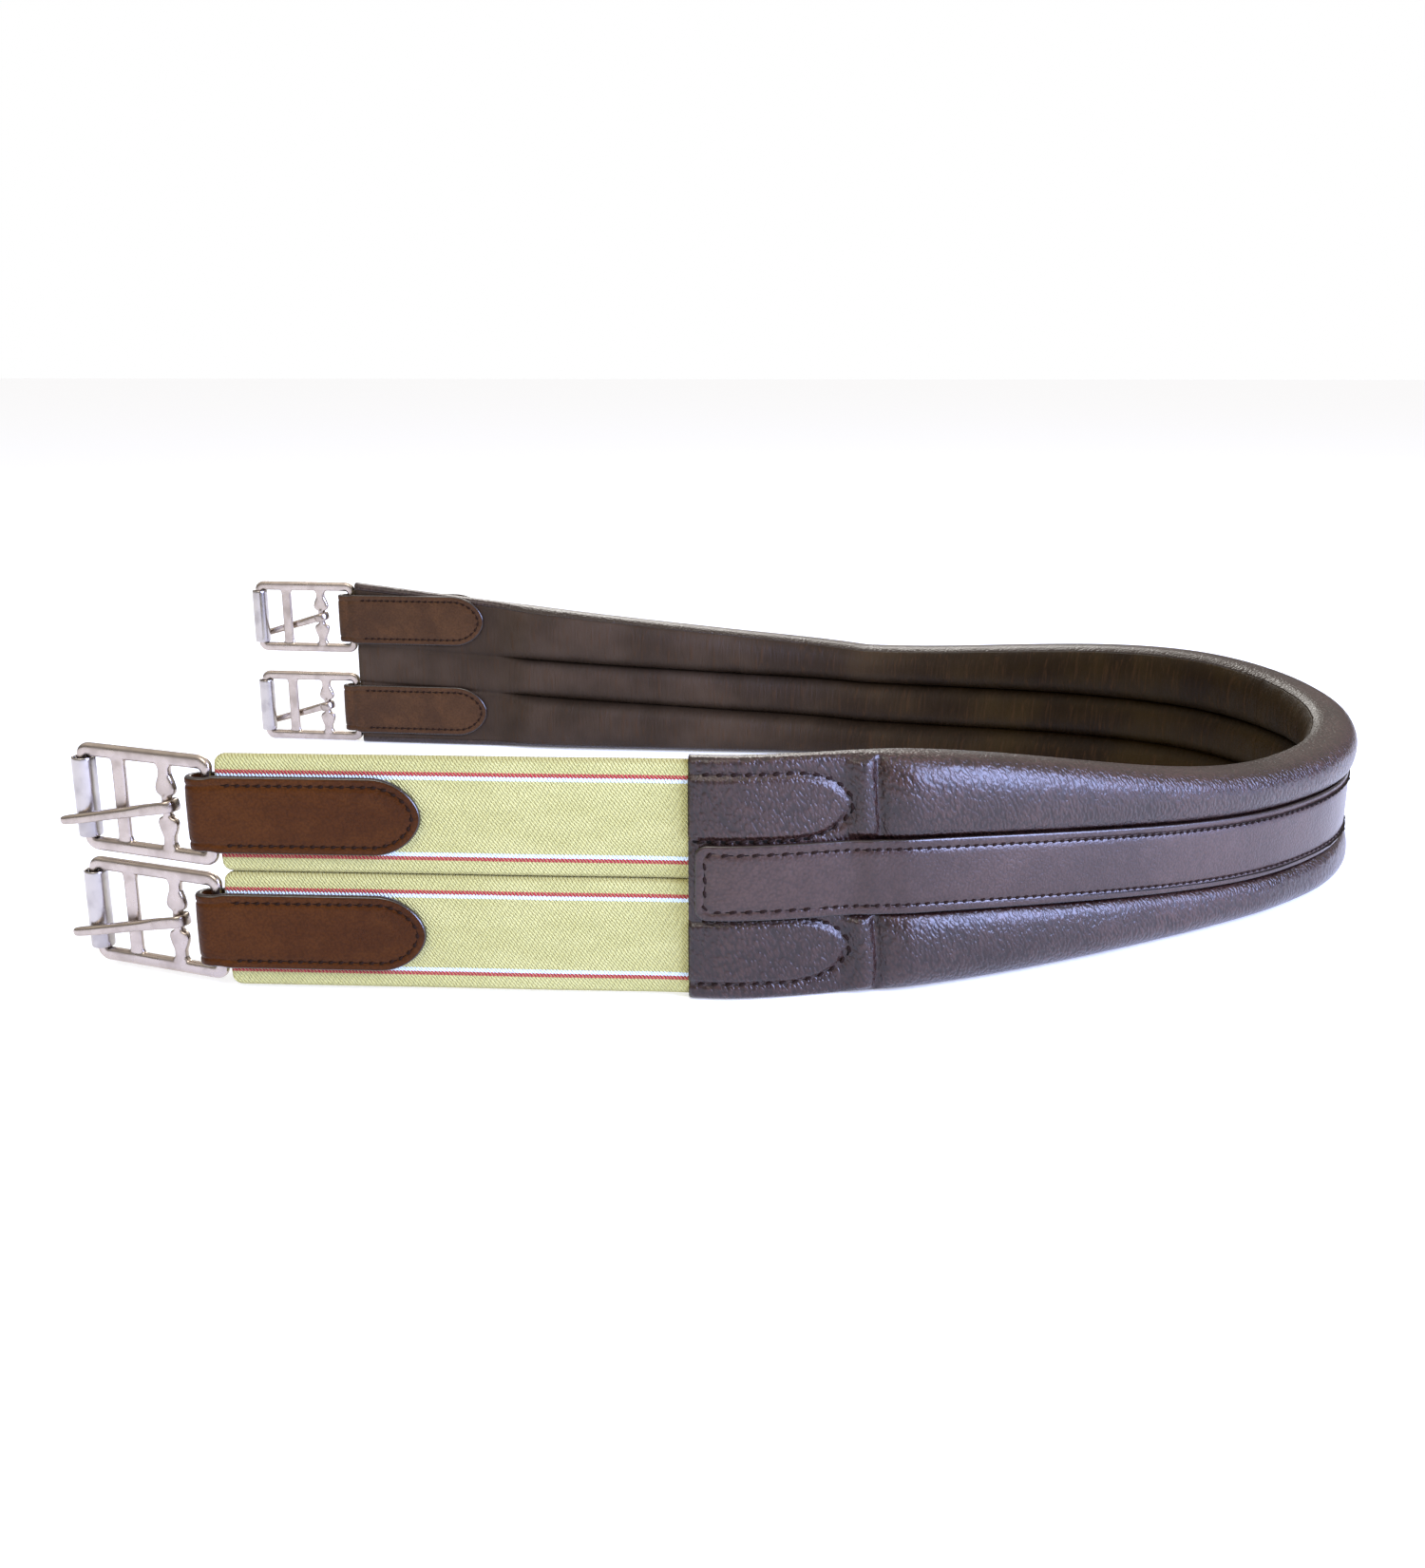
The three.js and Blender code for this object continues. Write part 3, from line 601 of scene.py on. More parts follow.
def leather(
    name, tones, grain, relief, gloss, specular, coat=0.0, contrast=0.85, edge=None,
    stretch=(1, 1, 1), turn=(0, 0, 0), inner_share=0.0,
):
    """Leather with pebbled grain, from dark, middle and light tones.

    grain is the pebbles' size and relief their height, in mm. gloss is the roughness. edge is the
    tone of cut edges. inner_share is how far the inner face turns to INNER_TONE.
    """
    dark, mid, light = tones
    look = Look(name, Specular_IOR_Level=specular, Coat_Weight=coat, Coat_Roughness=0.3)
    place = look.place()
    grained = look.place(stretch, turn)
    warp = look.node("TexNoise", {"Vector": place, "Scale": 0.4 / grain, "Detail": 2.0}).outputs["Color"]
    warp = look.node("VectorMath", {0: warp, 1: (grain, grain, grain)}, operation="MULTIPLY").outputs[0]
    shifted = look.node("VectorMath", {0: grained, 1: warp}, operation="ADD").outputs[0]
    cells = look.node("TexVoronoi", {"Vector": shifted, "Scale": 1 / grain}, feature="SMOOTH_F1")
    pebbles = look.step(cells.outputs["Distance"], 0.15, 0.75, 1.0, 0.0)
    fine = look.noise(grained, 1.6 / grain, 2, 0.5)
    broad = look.noise(place, 0.02, 3, 0.55)
    patch = look.noise(place, 0.11, 4, 0.6)
    colour = look.blend(look.step(broad, 0.35, 0.65), dark, mid)
    colour = look.blend(look.times(look.step(patch, 0.45, 0.75), 0.4), colour, light)
    creased = look.times(look.math("SUBTRACT", 1.0, pebbles), contrast)
    colour = look.blend(creased, colour, [channel * 0.35 for channel in dark[:3]] + [1.0])
    inside = look.step(look.axes(place)[1], -2.0, -7.0, 0.0, inner_share)
    colour = look.blend(inside, colour, INNER_TONE)
    if edge:
        colour = look.marked(colour, edge)
    rough = look.plus(look.times(fine, 0.1), look.step(broad, 0.3, 0.7, gloss - 0.08, gloss))
    height = look.plus(look.times(pebbles, 0.85), look.times(fine, 0.15))
    normal = look.bump(look.noise(place, 0.16, 3), 0.5, strength=0.5)
    return look.finish(colour, rough, look.bump(height, relief, normal))


def lining_leather():
    """Soft lining leather with fine creases across the belt, greyer towards its fixed end."""
    look = Look("lining_leather", Specular_IOR_Level=0.12)
    place = look.place()
    creases = look.noise(look.place((0.55, 0.3, 0.05)), 1.0, 4, 0.6, 0.6)
    pores = look.noise(place, 1.6, 3, 0.6)
    broad = look.noise(place, 0.018, 3, 0.6)
    # Darker and more olive in the bend, greyer towards the fixed end.
    towards_fixed_end = look.step(look.axes(place)[0], 780, 1100)
    dark = look.blend(towards_fixed_end, rgb(26, 14, 2), rgb(50, 39, 29))
    light = look.blend(towards_fixed_end, rgb(44, 31, 7), rgb(67, 54, 43))
    colour = look.blend(look.step(broad, 0.35, 0.68), dark, light)
    colour = look.blend(look.step(creases, 0.5, 0.72, 0.0, 0.45), colour, rgb(66, 44, 24))
    # Painted shade: the lining turns near-black towards its grooves, by the mark that build_lining stores.
    colour = look.marked(colour, rgb(10, 5, 1))
    rough = look.step(creases, 0.3, 0.8, 0.42, 0.58)
    height = look.plus(creases, look.times(pores, 0.25))
    return look.finish(colour, rough, look.bump(height, 0.55))


def elastic_web():
    """Cream twill with a white and a red line near each edge. The height is from the band's middle."""
    look = Look("elastic_web", Sheen_Weight=0.12, Sheen_Roughness=0.5, Specular_IOR_Level=0.2)
    place = look.place()
    s, _, q = look.axes(place)
    wander = look.times(look.noise(place, 0.25, 2), 1.6)
    ribs = look.sine(look.plus(look.times(s, 1.25), look.plus(q, wander)), 3.4)
    picks = look.sine(look.math("SUBTRACT", look.times(s, 2.6), q), 2.7)
    crossed = look.times(picks, look.sine(q, 4.6))
    weave = look.plus(look.times(ribs, 0.6), look.times(crossed, 0.4))
    across = look.plus(look.math("ABSOLUTE", q), look.times(ribs, 0.16))
    broad = look.noise(look.place((0.3, 1, 1)), 0.09, 3, 0.6)
    colour = look.blend(look.step(broad, 0.3, 0.7), rgb(190, 187, 122), rgb(202, 199, 135))
    colour = look.blend(look.step(weave, -0.1, -0.8, 0.0, 0.8), colour, rgb(140, 134, 84))
    white = look.times(look.step(across, 15.35, 15.65), look.step(across, 17.25, 17.05))
    colour = look.blend(white, colour, rgb(214, 232, 240))
    red = look.times(look.step(across, 17.0, 17.2), look.step(across, 19.0, 18.7))
    red = look.times(red, look.step(ribs, -0.9, 0.1, 0.45, 1.0))
    colour = look.blend(red, colour, rgb(168, 38, 56))
    colour = look.blend(look.step(across, 22.9, 24.6, 0.0, 0.8), colour, rgb(168, 162, 104))
    height = look.plus(weave, look.times(look.noise(place, 2.2, 3), 0.5))
    rough = look.step(weave, -1.0, 1.0, 0.95, 0.82)
    return look.finish(colour, rough, look.bump(height, 0.3))


def steel(name, base, shade, low, high):
    """Satin nickel-plated steel with faint polishing lines and dull patches."""
    look = Look(name, Metallic=1.0)
    lines = look.noise(look.place((0.2, 1.6, 1.6)), 1.6, 3, 0.6)
    patch = look.noise(look.place(), 0.12, 3, 0.5)
    colour = look.blend(look.step(patch, 0.4, 0.72), base, shade)
    rough = look.plus(look.step(patch, 0.3, 0.7, low, high), look.times(lines, 0.08))
    return look.finish(colour, rough, look.bump(lines, 0.012))


def thread(name, base, shade):
    look = Look(name, Specular_IOR_Level=0.1)
    strands = look.noise(look.place((3, 3, 3)), 1.3, 3)
    colour = look.blend(look.step(strands, 0.35, 0.65), base, shade)
    rough = look.step(strands, 0.3, 0.7, 0.6, 0.8)
    return look.finish(colour, rough, look.bump(strands, 0.12))


def soft_fill(name, base, shade, size):
    """Foam or woven webbing inside the belt."""
    look = Look(name, Specular_IOR_Level=0.2)
    coordinates = look.node("TexCoord").outputs["Object"]
    cells = look.node("TexVoronoi", {"Vector": coordinates, "Scale": 1 / (size * MM)}).outputs["Distance"]
    colour = look.blend(cells, base, shade)
    rough = look.step(cells, 0.0, 1.0, 0.85, 0.97)
    return look.finish(colour, rough, look.bump(cells, 0.3))


GRAIN_TILT = math.radians(24)
INNER_TONE = rgb(38, 25, 16)
COVER_TONES = (rgb(41, 23, 19), rgb(57, 36, 30), rgb(75, 52, 44))
STRAP_TONES = (rgb(50, 31, 26), rgb(64, 44, 37), rgb(77, 57, 50))
CHAPE_TONES = (rgb(63, 32, 9), rgb(73, 39, 11), rgb(84, 48, 18))
TAB_TONES = (rgb(63, 42, 27), rgb(78, 53, 33), rgb(93, 62, 37))
EDGE_TONES = (rgb(26, 14, 9), rgb(34, 19, 12), rgb(44, 27, 18))
COVER_LOOK = leather(
    "grained_leather", COVER_TONES, 1.25, 0.34, 0.31, 0.38, 0.24,
    stretch=(1.15, 1, 0.55), turn=(0, GRAIN_TILT, 0), inner_share=0.95,
)
STRAP_LOOK = leather("strap_leather", STRAP_TONES, 1.1, 0.12, 0.32, 0.4, 0.25, 0.55, rgb(32, 21, 18))
CHAPE_LOOK = leather("buckle_leather", CHAPE_TONES, 0.9, 0.08, 0.3, 0.1, 0.0, 0.4, rgb(20, 9, 5))
TAB_LOOK = leather("tab_leather", TAB_TONES, 1.1, 0.12, 0.34, 0.12, 0.0, 0.35, rgb(26, 15, 10))
EDGE_LOOK = leather("burnished_edge", EDGE_TONES, 0.8, 0.04, 0.26, 0.6, 0.5)
LINING_LOOK = lining_leather()
ELASTIC_LOOK = elastic_web()
FRAME_LOOK = steel("frame_steel", rgb(186, 174, 165), rgb(168, 156, 147), 0.2, 0.3)
ROLLER_LOOK = steel("roller_steel", rgb(184, 178, 174), rgb(164, 158, 156), 0.14, 0.22)
TONGUE_LOOK = steel("tongue_steel", rgb(180, 168, 158), rgb(160, 148, 139), 0.18, 0.28)
THREAD_LOOK = thread("dark_thread", rgb(24, 12, 6), rgb(40, 22, 12))
BELT_THREAD_LOOK = thread("belt_thread", rgb(24, 14, 11), rgb(40, 27, 23))
# Painted shade: near-black discs that stand for the shadow inside each stitch hole.
HOLE_SHADE_LOOK = thread("stitch_hole_shade", rgb(8, 4, 3), rgb(12, 8, 6))
FOAM_LOOK = soft_fill("foam", rgb(226, 218, 196), rgb(190, 180, 154), 1.2)
WEB_LOOK = soft_fill("webbing", rgb(204, 197, 178), rgb(168, 160, 138), 0.8)

# ---- cover and lining


def rows_between(*pairs):
    """Rows of places from a list of (from, to, step)."""
    rows = [np.linspace(a, b, max(2, math.ceil((b - a) / step)), endpoint=False) for a, b, step in pairs]
    return np.concatenate([*rows, [pairs[-1][1]]])


FINE_END = 292  # the stitched end takes fine rows up to here
BEND_START = 480
BEND_END = 745
BELT_ROWS = rows_between(
    (LEATHER_START, FINE_END, 0.9), (FINE_END, BEND_START, 4), (BEND_START, BEND_END, 2.5),
    (BEND_END, PAD_END - SHOULDER, 4), (PAD_END - SHOULDER, LENGTH, 2.5),
)
HALVES = height_at(BELT_ROWS) / 2
ROLL_COLUMNS = 46
EDGE_COLUMNS = 14
CORE_COLUMNS = 22
INNER_COLUMNS = 38


def cosine_row(low, high, first, last, count):
    """Heights from low to high, crowded at the ends, over part of half a turn."""
    angle = np.linspace(first, last, count) * np.pi
    return low + (high - low) * (1 - np.cos(angle)) / 2


def roll_heights(low, first, last, count, sign=1):
    """Heights along a roll at every row of the belt, from its stitched side to its edge."""
    return sign * np.stack([cosine_row(low, half, first, last, count) for half in HALVES])


def belt_sheet(name, sides, material):
    """A sheet of faces side by side, and its flat points. Each side is a face, a sign and heights."""
    parts = []
    for face, sign, q in sides:
        s = BELT_ROWS[:, None]
        parts.append(coords(s, sign * face(s, q), q + HALVES[:, None]))
    flat = np.concatenate(parts, axis=1)
    faces = grid_faces(*flat.shape[:2])
    flat = flat.reshape(-1, 3)
    return make_object(name, bend(flat), faces, flat, material), flat


def build_cover():
    sides = [
        (inner_face, -1, roll_heights(GROOVE_PITCH, COVER_WRAP, 1, EDGE_COLUMNS, -1)),
        (outer_face, 1, roll_heights(ROLL_FOOT, 1, 0, ROLL_COLUMNS, -1)),
        (outer_face, 1, roll_heights(ROLL_FOOT, 0, 1, ROLL_COLUMNS)),
        (inner_face, -1, roll_heights(GROOVE_PITCH, 1, COVER_WRAP, EDGE_COLUMNS)),
    ]
    cover, _ = belt_sheet("cover_leather", sides, COVER_LOOK)
    solidify(cover, COVER)
    settle(cover, "belt", "grained_leather", "outer_cover")


def build_lining():
    edge = COVER_WRAP - LINING_UNDERLAP
    core = cosine_row(GROOVE_PITCH, -GROOVE_PITCH, 0.05, 0.95, CORE_COLUMNS)
    sides = [
        (inner_face, -1, roll_heights(GROOVE_PITCH, edge, 0, INNER_COLUMNS)),
        (inner_face, -1, np.tile(core, (len(HALVES), 1))),
        (inner_face, -1, roll_heights(GROOVE_PITCH, 0, edge, INNER_COLUMNS, -1)),
    ]
    lining, flat = belt_sheet("lining_leather", sides, LINING_LOOK)
    s = flat[:, 0]
    # Painted shade along the grooves, fainter where the belt is unpadded.
    groove = hump(np.abs(flat[:, 2] - height_at(s) / 2), GROOVE_PITCH, 4)
    store_marks(lining, GROOVE_PAINTED_SHADE * groove * mix(0.3, 1, padding_at(s)))
    solidify(lining, LINING)
    settle(lining, "belt", "lining_leather", "inner_lining")


# ---- flat leather pieces


def leather_solid(outline, spine, profile):
    """Points and faces of a flat piece, from its outline in (along, across) and its edge profile.

    spine holds the point that each outline point closes on.
    """
    reach = np.linalg.norm(spine - outline, axis=1)
    rings = []
    for inset, height in profile:
        share = np.clip(inset / reach, 0, 1)[:, None]
        rings.append(coords(*(outline + (spine - outline) * share).T, height))
    return tidy(np.concatenate(rings), grid_faces(len(rings), len(outline), True))


def edge_marks(points, outline):
    """1 at a piece's cut edge, falling to 0 inside it."""
    gaps = np.array([np.min(np.hypot(*(outline - p[:2]).T)) for p in points])
    return np.clip(1 - gaps / EDGE_DEPTH, 0, 1)


def leather_profile(thickness, groove_inset, groove_depth, crown):
    """Edge profile with rounded edges, a stitched groove and a slight crown.

    It is a row of (inset from the edge, height), from the middle of the back to the middle of the
    front.
    """
    edge = [
        (PAST_MIDDLE, 0), (6, 0), (0.8, 0), (0.2, 0.12), (0, 0.35), (0, 0.68), (0.22, 0.86),
        (0.6, 0.96), (1.1, 1), (groove_inset - 1, 1),
    ]
    groove = [(-0.45, -0.5), (0, -1), (0.45, -0.5)]
    rise = [(1, 0.1), (3, 0.55), (7, 0.9), (PAST_MIDDLE, 1)]
    profile = [(inset, share * thickness) for inset, share in edge]
    profile += [(groove_inset + shift, thickness + share * groove_depth) for shift, share in groove]
    return profile + [(groove_inset + shift, thickness + share * crown) for shift, share in rise]


def finish_edges(piece, marks):
    """Stores the edge marks for the material, and gives the cut edge its burnished finish."""
    store_marks(piece, marks)
    mesh = piece.data
    mesh.materials.append(EDGE_LOOK)
    for face in mesh.polygons:
        face.material_index = int(min(marks[i] for i in face.vertices) > BURNISHED)


def stitches(name, points, runs, normals, length, radius, look):
    """Thread stitches on a surface, each with a near-black disc of painted shade at its hole. In mm."""
    binormals = np.cross(normals, runs)
    leaning = runs * math.cos(STITCH_SLANT) + binormals * math.sin(STITCH_SLANT)
    sides = np.cross(normals, leaning)
    u = np.linspace(-1, 1, 6)
    rise = 0.42 * radius - 1.7 * radius * u**4
    wide = radius * (1 - 0.25 * u**2)
    around = full_turn(6)[:, None]
    rim_turn = full_turn(HOLE_SHADE_SIDES)[:, None]
    hole_shade_faces = [(j, (j + 1) % HOLE_SHADE_SIDES, HOLE_SHADE_SIDES) for j in range(HOLE_SHADE_SIDES)]
    all_points, all_faces, slots = [], [], []
    base = 0
    for p, t, b, n, run in zip(points, leaning, sides, normals, runs):
        centre = p + np.outer(u * length / 2, t) + np.outer(rise, n)
        section = b * np.cos(around) * 1.15 + n * np.sin(around)
        sewn = capped_tube(centre[:, None] + wide[:, None, None] * section)
        # A flat near-black disc on the surface at the hole: painted shade, not a real hole.
        hole = p - run * (length * 0.5 + 0.2)
        rim = 2.1 * run * np.cos(rim_turn) + 1.25 * b * np.sin(rim_turn)
        hole_shade = np.vstack([hole + 0.062 * radius * n + radius * rim, hole + n * 0.14])
        for slot, (made, faces) in enumerate((sewn, (hole_shade, hole_shade_faces))):
            all_points.append(made)
            all_faces += [tuple(i + base for i in face) for face in faces]
            slots += [slot] * len(faces)
            base += len(made)
    flat = np.vstack(all_points)
    piece = make_object(name, flat * MM, all_faces, flat, look)
    piece.data.materials.append(HOLE_SHADE_LOOK)
    piece.data.polygons.foreach_set("material_index", slots)
    return piece


def stitch_frames(surface, line):
    """Points, runs and normals along a line of (place, height) drawn on a belt surface. In mm."""

    def point(a, b):
        return bend(coords(a, surface(a, b), b + height_at(a) / 2)) / MM

    s, q = line.T
    here = point(s, q)
    along = point(s + 0.5, q) - point(s - 0.5, q)
    across = point(s, q + 0.3) - point(s, q - 0.3)
    run = runs_along(here)
    normals = unit(np.cross(along, across))
    run = unit(run - normals * np.sum(run * normals, axis=1, keepdims=True))
    return here, run, normals


# ---- centre strap


def rounded_outline(x0, x1, half, corner, step):
    """A rectangle with round corners, counter-clockwise, and the spine that it closes on."""
    turn = np.linspace(0, np.pi / 2, 7)
    straight = np.linspace(x0 + corner, x1 - corner, math.ceil((x1 - x0) / step))
    side = np.linspace(-half + corner, half - corner, 11)[1:-1]
    low = coords(straight, -half)
    right = coords(x1, side)
    high = coords(straight[::-1], half)
    left = coords(x0, side[::-1])
    near, far, edge = x0 + corner, x1 - corner, half - corner
    arcs = []
    for cx, cy, start in ((far, -edge, -90), (far, edge, 0), (near, edge, 90), (near, -edge, 180)):
        angle = turn + math.radians(start)
        arcs.append(coords(cx + corner * np.cos(angle), cy + corner * np.sin(angle))[1:-1])
    outline = np.vstack([low, arcs[0], right, arcs[1], high, arcs[2], left, arcs[3]])
    spine = coords(np.clip(outline[:, 0], x0 + half, x1 - half), 0)
    return outline, spine


def strap_groove(s, _):
    """Outward offset of the strap's stitched groove."""
    return bed_at(s) + STRAP - STRAP_GROOVE


def build_strap():
    outline, spine = rounded_outline(STRAP_START, STRAP_END, STRAP_HALF, STRAP_CORNER, 2.6)
    profile = leather_profile(STRAP, STRAP_STITCH, STRAP_GROOVE, STRAP_CROWN)
    solid, faces = leather_solid(outline, spine, profile)
    s, q, depth = solid.T
    flat = coords(s, bed_at(s) + depth, q + height_at(s) / 2)
    strap = make_object("strap_leather", bend(flat), faces, flat, STRAP_LOOK)
    finish_edges(strap, edge_marks(solid, outline))
    settle(strap, "belt", "strap_leather", "centre_strap")

    q = STRAP_HALF - STRAP_STITCH
    first, last = STRAP_START + STRAP_STITCH, STRAP_END - STRAP_STITCH
    end = [(COARSE_END, q), (first + 1, q), (first, q - 1), (first, 1 - q), (first + 1, -q), (COARSE_END, -q)]
    upper = [(COARSE_END, q), (last - 1, q)]
    lower = [(COARSE_END, -q), (last - 1, -q)]
    fixed = [(last - 1, q), (last, q - 1), (last, 1 - q), (last - 1, -q)]
    coarse = (COARSE_PITCH, COARSE_STITCH)
    fine = (FINE_PITCH, FINE_STITCH)
    rows = ((end, coarse), (upper, fine), (lower, fine), (fixed, fine))
    for number, (line, (pitch, length)) in enumerate(rows, 1):
        frames = stitch_frames(strap_groove, even(line, pitch))
        sewn = stitches(f"strap_stitches_{number}", *frames, length, STRAP_THREAD, BELT_THREAD_LOOK)
        settle(sewn, "belt", "strap_leather")


def build_tail_stitches():
    """Stitches round the elastics' tails, on the cover."""
    nose = half_turn(40)
    arc = coords(TAIL_TIP - TAIL_LENGTH + TAIL_LENGTH * np.cos(nose), TAIL_HALF * np.sin(nose))
    start = LEATHER_START + 2.5
    outline = np.vstack([(start, -TAIL_HALF), arc, (start, TAIL_HALF)])
    for name, sign in LEVELS:
        frames = stitch_frames(outer_face, even(outline + (0, sign * TAIL_CENTRE), TAIL_PITCH))
        sewn = stitches(f"tail_stitches_{name}", *frames, TAIL_STITCH, TAIL_THREAD, BELT_THREAD_LOOK)
        settle(sewn, "belt", "grained_leather")


# ---- elastic bands


def elastic_rings(middle):
    """Rings of a band from its free end to its tail, as flat points with heights from its own middle."""
    nose_start = TAIL_END - TAIL_NOSE
    places = rows_between((0, 6, 0.5), (6, nose_start, 2.5), (nose_start, TAIL_END, 1.6))
    angle = full_turn(72)
    level = np.abs(np.cos(angle))
    side = np.where(level < 0.02, 0, np.sign(np.cos(angle)))
    face = np.sign(np.sin(angle)) * np.abs(np.sin(angle)) ** 0.75
    rings = []
    for s in places:
        into = np.clip(s / ELASTIC_CORNER, 0, 1)
        nose = np.clip((s - nose_start) / TAIL_NOSE, 0, 1)
        half = ELASTIC_WIDTH / 2 - ELASTIC_CORNER * (1 - math.sqrt(1 - (1 - into) ** 2))
        half = max(half * math.sqrt(1 - nose**2), 3)
        depth = ELASTIC / 2 * math.sqrt(1 - (1 - min(s / 1.5, 1)) ** 2 * 0.8)
        wave = ELASTIC_WAVE * math.sin(s / 21 + middle) * window(90, 130, 165, 190, s)
        across = side * ((half - ELASTIC_SIDE) * np.clip(level * 6, 0, 1) + ELASTIC_SIDE * level)
        rings.append(coords(s, depth * face + wave, across))
    return np.array(rings)


def build_elastics():
    for level, sign in LEVELS:
        middle = END_WIDTH / 2 + sign * ELASTIC_PITCH
        flat, faces = capped_tube(elastic_rings(middle))
        placed = flat + (0, 0, middle)
        band = make_object("elastic_band_" + level, bend(placed), faces, flat, ELASTIC_LOOK)
        fix_normals(band)
        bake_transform(band)
        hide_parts("elastic_" + level)


# ---- buckle leathers


class End:
    """Local axes of an end of the belt: x away from it, y towards its outer face, z up. In mm."""

    def __init__(self, s, away):
        point, tangent = plan(np.array(float(s)))
        self.origin = np.array([*point, 0.0])
        self.x = np.array([*(tangent * away), 0.0])
        self.y = np.array([tangent[1], -tangent[0], 0.0])

    def world(self, x, y, z):
        return self.origin + np.outer(x, self.x) + np.outer(y, self.y) + np.outer(z, (0, 0, 1))


class Fold:
    """The path of a strip's inner side: along one leg, round the bar, and back along the other leg."""

    def __init__(self, leg, leg_half):
        centre = CHAPE_REACH - FOLD_HALF - CHAPE
        turn = np.linspace(np.pi / 2, -np.pi / 2, 24)
        arc = coords(centre + FOLD_HALF * np.cos(turn), FOLD_HALF * np.sin(turn))
        half = np.array([(-leg, leg_half), (NARROW_START, leg_half), (NARROW_END, FOLD_HALF)])
        line = np.vstack([half, arc, half[::-1] * (1, -1)])
        gaps = distances(line)
        self.length = gaps[-1]
        self.places = np.linspace(0, self.length, 600)
        dense = sample(line, gaps, self.places)
        self.line = blurred(np.pad(dense, ((4, 4), (0, 0)), mode="edge"), 4)
        self.normal = left_of(runs_along(self.line))

    def at(self, along, depth):
        """Points at places along the strip, a depth out from its inner side."""
        normal = sample(self.normal, self.places, along)
        return (sample(self.line, self.places, along) + normal * depth[:, None]).T


def nose_width(turn):
    """Share of the half-width at an angle round a strip's nose."""
    return np.sign(turn) * np.abs(np.sin(turn)) ** NOSE_POWER


def strip_outline(length):
    """A strip with a pointed round nose at both ends, and its spine."""
    half = CHAPE_WIDTH / 2
    far = length - CHAPE_NOSE
    straight = np.linspace(CHAPE_NOSE, far, math.ceil(length / 1.3))
    turn = half_turn(44)[1:-1]
    right = coords(far + CHAPE_NOSE * np.cos(turn), half * nose_width(turn))
    left = coords(CHAPE_NOSE - CHAPE_NOSE * np.cos(turn), -half * nose_width(turn))
    outline = np.vstack([coords(straight, -half), right, coords(straight[::-1], half), left])
    return outline, coords(np.clip(outline[:, 0], CHAPE_NOSE, far), 0)


def build_chape(end, name, body, height, leg, leg_half, inner_depth, look):
    """inner_depth is the share of its thickness that the inner leg keeps, where it is skived."""
    fold = Fold(leg, leg_half)
    outline, spine = strip_outline(fold.length)
    profile = leather_profile(CHAPE, CHAPE_STITCH, CHAPE_GROOVE, CHAPE_CROWN)
    solid, faces = leather_solid(outline, spine, profile)

    def depth_at(along, depth):
        return depth * mix(1, inner_depth, smooth(leg + 14, leg + 34, along))

    along, across, depth = solid.T
    x, y = fold.at(along, depth_at(along, depth))
    second_leg = fold.length - leg
    folded = window(leg - 1, leg + 4, second_leg - 4, second_leg + 1, along)
    points = end.world(x, y, across * (1 - CHAPE_NARROWING * folded) + height)
    chape = make_object("chape_leather_" + name, points * MM, faces, solid[:, [0, 2, 1]], look)
    finish_edges(chape, edge_marks(solid, outline))
    settle(chape, body, "buckle_leather", "chape_" + name)

    half = CHAPE_WIDTH / 2 - CHAPE_STITCH
    turn = np.linspace(np.pi / 2, -np.pi / 2, 60)
    arc = coords(CHAPE_NOSE - (CHAPE_NOSE - CHAPE_STITCH) * np.cos(turn), half * nose_width(turn))
    place, across = even(np.vstack([(leg - 4, half), arc, (leg - 4, -half)]), CHAPE_PITCH).T
    for side, along in (("outer", place), ("inner", fold.length - place)):
        rise = depth_at(along, CHAPE - CHAPE_GROOVE)
        here = end.world(*fold.at(along, rise), across + height)
        normals = unit(end.world(*fold.at(along, rise + 1), across + height) - here)
        run = runs_along(here)
        title = f"chape_stitches_{name}_{side}"
        sewn = stitches(title, here, run, normals, CHAPE_STITCH_LENGTH, CHAPE_THREAD, THREAD_LOOK)
        settle(sewn, body, "buckle_leather")


# ---- buckles, in their own axes in mm


def squared(wave, power):
    """A sine or cosine raised to a power, keeping its sign."""
    return np.sign(wave) * np.abs(wave) ** power


def oval(angle, half_a, half_b, power):
    """A rounded-rectangle section: 2 is an ellipse and a higher power is squarer."""
    return half_a * squared(np.cos(angle), 2 / power), half_b * squared(np.sin(angle), 2 / power)


SECTION = full_turn(28)


def swept(path, normals, halves, depths, powers):
    """Rings of ovals along a path in the buckle's x and z, wide along its normals and deep in y."""
    rings = []
    for p, n, half, depth, power in zip(path, normals, halves, depths, powers):
        a, b = oval(SECTION, half, depth, power)
        rings.append(coords(p[0] + n[0] * a, b, p[1] + n[1] * a))
    return np.array(rings)


def cross_bar(place, heights, halves, depths, powers):
    """A bar across the buckle, along z, with a section that changes."""
    path = coords(place, heights)
    return capped_tube(swept(path, coords(np.ones(len(path)), 0), halves, depths, powers))


